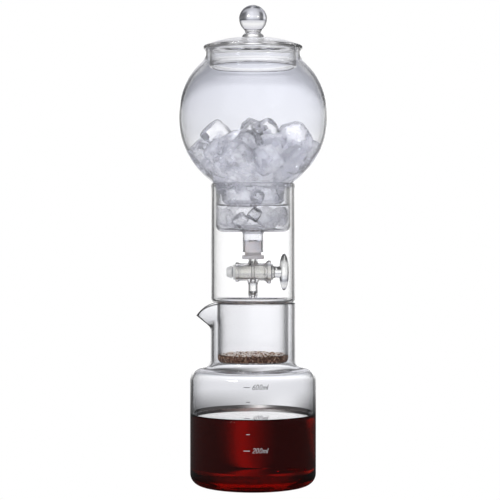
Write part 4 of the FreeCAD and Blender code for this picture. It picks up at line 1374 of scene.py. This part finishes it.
def more_than(nt, value, lim):
    m = nt.nodes.new("ShaderNodeMath")
    m.operation = "GREATER_THAN"
    m.inputs[1].default_value = lim
    nt.links.new(value, m.inputs[0])
    return m.outputs[0]


def plain(nt, c):
    r = nt.nodes.new("ShaderNodeRGB")
    r.outputs[0].default_value = tuple(c) + (1.0,)
    return r.outputs[0]


MAIN = [(-22, 0.2), (-16, 0.70), (-9, 0.86), (-2.2, 0.88), (0.3, 0.98), (2.0, 1.0), (9, 1.0), (16, 0.75), (22, 0.25), (30, 0.16)]
NEAR_M = [(-10.5, 0.06), (-5.6, 0.14), (-1.9, 0.28), (1.65, 0.50), (3.8, 0.68), (6.35, 0.68), (9.1, 0.38),
          (12.2, 0.18), (16.0, 0.09), (21.5, 0.06)]
FLIP_L = [(-180, 0.38), (-178.35, 0.48), (-176.2, 0.62), (-173.65, 0.62), (-170.9, 0.36), (-167.8, 0.18), (-164.0, 0.09), (-158.5, 0.06)]
FLIP_R = [(169.5, 0.06), (174.4, 0.14), (178.1, 0.28), (180, 0.38)]

fm = bpy.data.materials.new("floor")
fm.use_nodes = True
nt = fm.node_tree
nt.nodes.clear()
fo = nt.nodes.new("ShaderNodeOutputMaterial")
ge = nt.nodes.new("ShaderNodeTexCoord")
sp = nt.nodes.new("ShaderNodeSeparateXYZ")
nt.links.new(ge.outputs["Object"], sp.inputs[0])
lp = nt.nodes.new("ShaderNodeLightPath")
mirrored = more_than(nt, lp.outputs["Glossy Depth"], 0.5)
matte = more_than(nt, lp.outputs["Diffuse Depth"], 0.5)
X_, Y_ = sp.outputs["X"], sp.outputs["Y"]
yb = nt.nodes.new("ShaderNodeMath")
yb.operation = "SUBTRACT"
yb.inputs[1].default_value = 0.115
nt.links.new(Y_, yb.inputs[0])
YB = yb.outputs[0]
near = pick(nt, mirrored, by_azimuth(nt, X_, YB, FLIP_L + NEAR_M + FLIP_R),
            by_azimuth(nt, X_, YB, [(-180, 0.03)] + NEAR_M + [(30, 0.03), (180, 0.03)]))
WIDE = [(-32, 0.62), (-16, 0.82), (-9, 1.0), (9, 1.0), (16, 0.82), (36, 0.55), (50, 0.2)]
far = pick(nt, mirrored, by_azimuth(nt, X_, Y_, lobes(0.16, MAIN)), by_azimuth(nt, X_, Y_, lobes(0.06, MAIN, 0)))
middle = add_ramp(nt, azimuth(nt, X_, Y_), [((d + 180.0) / 360.0, (q, q, q)) for d, q in
                                            [(-180, 0.16), (-108, 0.16), (-98, 0.95), (-82, 0.95), (-74, 0.16), (-66, 0.16), (-57, 0.95), (-41, 0.95)] + WIDE
                                            + [(116, 0.16), (126, 0.9), (144, 0.9), (154, 0.16), (180, 0.16)]])
ln = nt.nodes.new("ShaderNodeVectorMath")
ln.operation = "LENGTH"
nt.links.new(ge.outputs["Object"], ln.inputs[0])
gain = add_ramp(nt, map_range(nt, ln.outputs["Value"], 0.0, 4.0, 0.0, 1.0),
                [(0.0, (0.62, 0.62, 0.62)), (0.22, (0.62, 0.62, 0.63)), (0.45, (0.86, 0.86, 0.86)), (0.8, (0.9, 0.9, 0.9))])
# painted shadow: the floor's glow is dimmed close under the carafe
painted_shadow_under = add_ramp(nt, map_range(nt, ln.outputs["Value"], 0.0, 0.2, 0.0, 1.0),
                 [(0.0, (0.35, 0.35, 0.35)), (0.24, (0.35, 0.35, 0.35)), (0.4, (1.0, 1.0, 1.0))])
near = times(nt, near, painted_shadow_under)
# panels at the other sides, laid on the floor and brightest from 0.4 m out
side_on = add_ramp(nt, azimuth(nt, X_, Y_), lobe_stops([
    (-180, 0.0), (-114, 0.0), (-101, 1.0), (-79, 1.0), (-70, 0.0), (-64, 0.0), (-55, 1.0), (-36, 1.0), (-27, 0.0),
    (112, 0.0), (124, 1.0), (146, 1.0), (158, 0.0), (180, 0.0)]))
reach_ = map_range(nt, ln.outputs["Value"], 0.10, 0.14, 0.0, 1.0)
no_mirror = nt.nodes.new("ShaderNodeMath")
no_mirror.operation = "SUBTRACT"
no_mirror.inputs[0].default_value = 1.0
nt.links.new(mirrored, no_mirror.inputs[1])
how = nt.nodes.new("ShaderNodeMath")
how.operation = "MULTIPLY"
nt.links.new(reach_, how.inputs[0])
nt.links.new(no_mirror.outputs[0], how.inputs[1])
panel = pick(nt, map_range(nt, ln.outputs["Value"], 0.36, 0.50, 0.0, 1.0), plain(nt, (0.22, 0.22, 0.23)), plain(nt, (0.80, 0.80, 0.815)))
near = pick(nt, how.outputs[0], near, pick(nt, side_on, near, panel))
beyond = pick(nt, map_range(nt, ln.outputs["Value"], 1.0, 1.7, 0.0, 1.0), pick(nt, mirrored, middle, far), far)
col = pick(nt, map_range(nt, ln.outputs["Value"], 0.50, 0.80, 0.0, 1.0), near, times(nt, beyond, gain))
bright = nt.nodes.new("ShaderNodeVectorMath")
bright.operation = "SCALE"
bright.inputs["Scale"].default_value = 2.5
nt.links.new(plain(nt, (0.55, 0.55, 0.57)), bright.inputs[0])
col = pick(nt, matte, col, bright.outputs[0])
e_in = nt.nodes.new("ShaderNodeEmission")
nt.links.new(col, e_in.inputs["Color"])
e_in.inputs["Strength"].default_value = 1.5
e_cam = nt.nodes.new("ShaderNodeEmission")
e_cam.inputs["Color"].default_value = (1, 1, 1, 1)
mx = nt.nodes.new("ShaderNodeMixShader")
nt.links.new(lp.outputs["Is Camera Ray"], mx.inputs["Fac"])
nt.links.new(e_in.outputs[0], mx.inputs[1])
nt.links.new(e_cam.outputs[0], mx.inputs[2])
nt.links.new(mx.outputs[0], fo.inputs["Surface"])
floor = make_obj("floor", [(-6000, -6000, -0.2), (6000, -6000, -0.2), (6000, 6000, -0.2), (-6000, 6000, -0.2)],
                 [(0, 1, 2, 3)], fm, smooth=False)

world = bpy.data.worlds.new("studio")
scene.world = world
world.use_nodes = True
wn = world.node_tree
wn.nodes.clear()
wo = wn.nodes.new("ShaderNodeOutputWorld")
wtc = wn.nodes.new("ShaderNodeTexCoord")
wsp = wn.nodes.new("ShaderNodeSeparateXYZ")
wn.links.new(wtc.outputs["Generated"], wsp.inputs[0])
X_, Y_, Z_ = wsp.outputs["X"], wsp.outputs["Y"], wsp.outputs["Z"]
lp = wn.nodes.new("ShaderNodeLightPath")
mirrored = more_than(wn, lp.outputs["Glossy Depth"], 0.5)
matte = more_than(wn, lp.outputs["Diffuse Depth"], 0.5)
# by height: brightest at the horizon, dimmer above it, and bright again overhead
G = 2.15
elev = add_ramp(wn, Z_, [(0.0, (0.64, 0.64, 0.64)), (0.02, (0.62, 0.62, 0.622)), (0.055, (0.50, 0.505, 0.52)),
                         (0.100, (0.485, 0.491, 0.522)), (0.122, (0.30, 0.305, 0.335)), (0.165, (0.26, 0.265, 0.29)),
                         (0.20, (0.42, 0.42, 0.44)), (0.36, (0.52, 0.52, 0.52)), (0.52, (0.42, 0.42, 0.44)), (0.75, (0.35, 0.35, 0.39)),
                         (1.0, (0.3, 0.3, 0.34))])
elev_m = add_ramp(wn, Z_, [(0.0, (0.65, 0.65, 0.65)), (0.06, (0.95, 0.95, 0.94)), (0.124, (0.95, 0.95, 0.94)), (0.134, (0.22, 0.22, 0.23)), (0.19, (0.2, 0.2, 0.21)), (0.24, (0.4, 0.4, 0.42)),
                           (0.5, (0.45, 0.45, 0.48)), (1.0, (0.25, 0.25, 0.28))])
HIGH = [(-62, 0.22), (-38, 0.9), (38, 0.9), (62, 0.22)]
high_up = map_range(wn, Z_, 0.15, 0.21, 0.0, 1.0)
seen = pick(wn, high_up, by_azimuth(wn, X_, Y_, lobes(0.2, MAIN)), add_ramp(wn, azimuth(wn, X_, Y_), lobe_stops(HIGH)))
wcol = pick(wn, mirrored, times(wn, seen, elev),
            times(wn, by_azimuth(wn, X_, Y_, lobes(0.07, MAIN, 0)), elev_m))
key_ = wn.nodes.new("ShaderNodeVectorMath")
key_.operation = "DOT_PRODUCT"
key_.inputs[1].default_value = Vector((-0.55, -0.5, 0.67)).normalized()
wn.links.new(wtc.outputs["Generated"], key_.inputs[0])
soft = add_ramp(wn, map_range(wn, key_.outputs["Value"], -1.0, 1.0, 0.0, 1.0),
                [(0.0, (0.38, 0.385, 0.42)), (0.5, (0.54, 0.545, 0.58)), (1.0, (0.98, 0.98, 1.0))])
gainm = wn.nodes.new("ShaderNodeVectorMath")
gainm.operation = "SCALE"
gainm.inputs["Scale"].default_value = 1.75
wn.links.new(soft, gainm.inputs[0])
wcol = pick(wn, matte, wcol, gainm.outputs[0])
bg_cam = wn.nodes.new("ShaderNodeBackground")
bg_cam.inputs["Color"].default_value = (1, 1, 1, 1)
bg_env = wn.nodes.new("ShaderNodeBackground")
wn.links.new(wcol, bg_env.inputs["Color"])
bg_env.inputs["Strength"].default_value = G
mx = wn.nodes.new("ShaderNodeMixShader")
wn.links.new(lp.outputs["Is Camera Ray"], mx.inputs["Fac"])
wn.links.new(bg_env.outputs["Background"], mx.inputs[1])
wn.links.new(bg_cam.outputs["Background"], mx.inputs[2])
wn.links.new(mx.outputs["Shader"], wo.inputs["Surface"])


def area(name, loc, target, sx, sy, power, color=(1, 1, 1)):
    d = bpy.data.lights.new(name, "AREA")
    d.shape = "RECTANGLE"
    d.size, d.size_y = sx, sy
    d.energy = power
    d.color = color
    o = bpy.data.objects.new(name, d)
    o.location = loc
    o.rotation_euler = (Vector(target) - Vector(loc)).to_track_quat("-Z", "Y").to_euler()
    o.visible_camera = False
    scene.collection.objects.link(o)
    return o


left = area("soft_left", (-0.72, -0.80, 0.82), (0, 0, 0.1), 0.34, 0.24, 7.5)
right = area("soft_right", (0.78, -0.86, 0.62), (0, 0, 0.2), 0.16, 0.34, 1.6)
for o, pieces in ((left, (carafe, lid, barrel, key, cap, washer)), (right, (lid, barrel, key, cap, washer))):
    lit = bpy.data.collections.new("lit_by_" + o.name)
    for q in pieces:
        lit.objects.link(q)
    o.light_linking.receiver_collection = lit
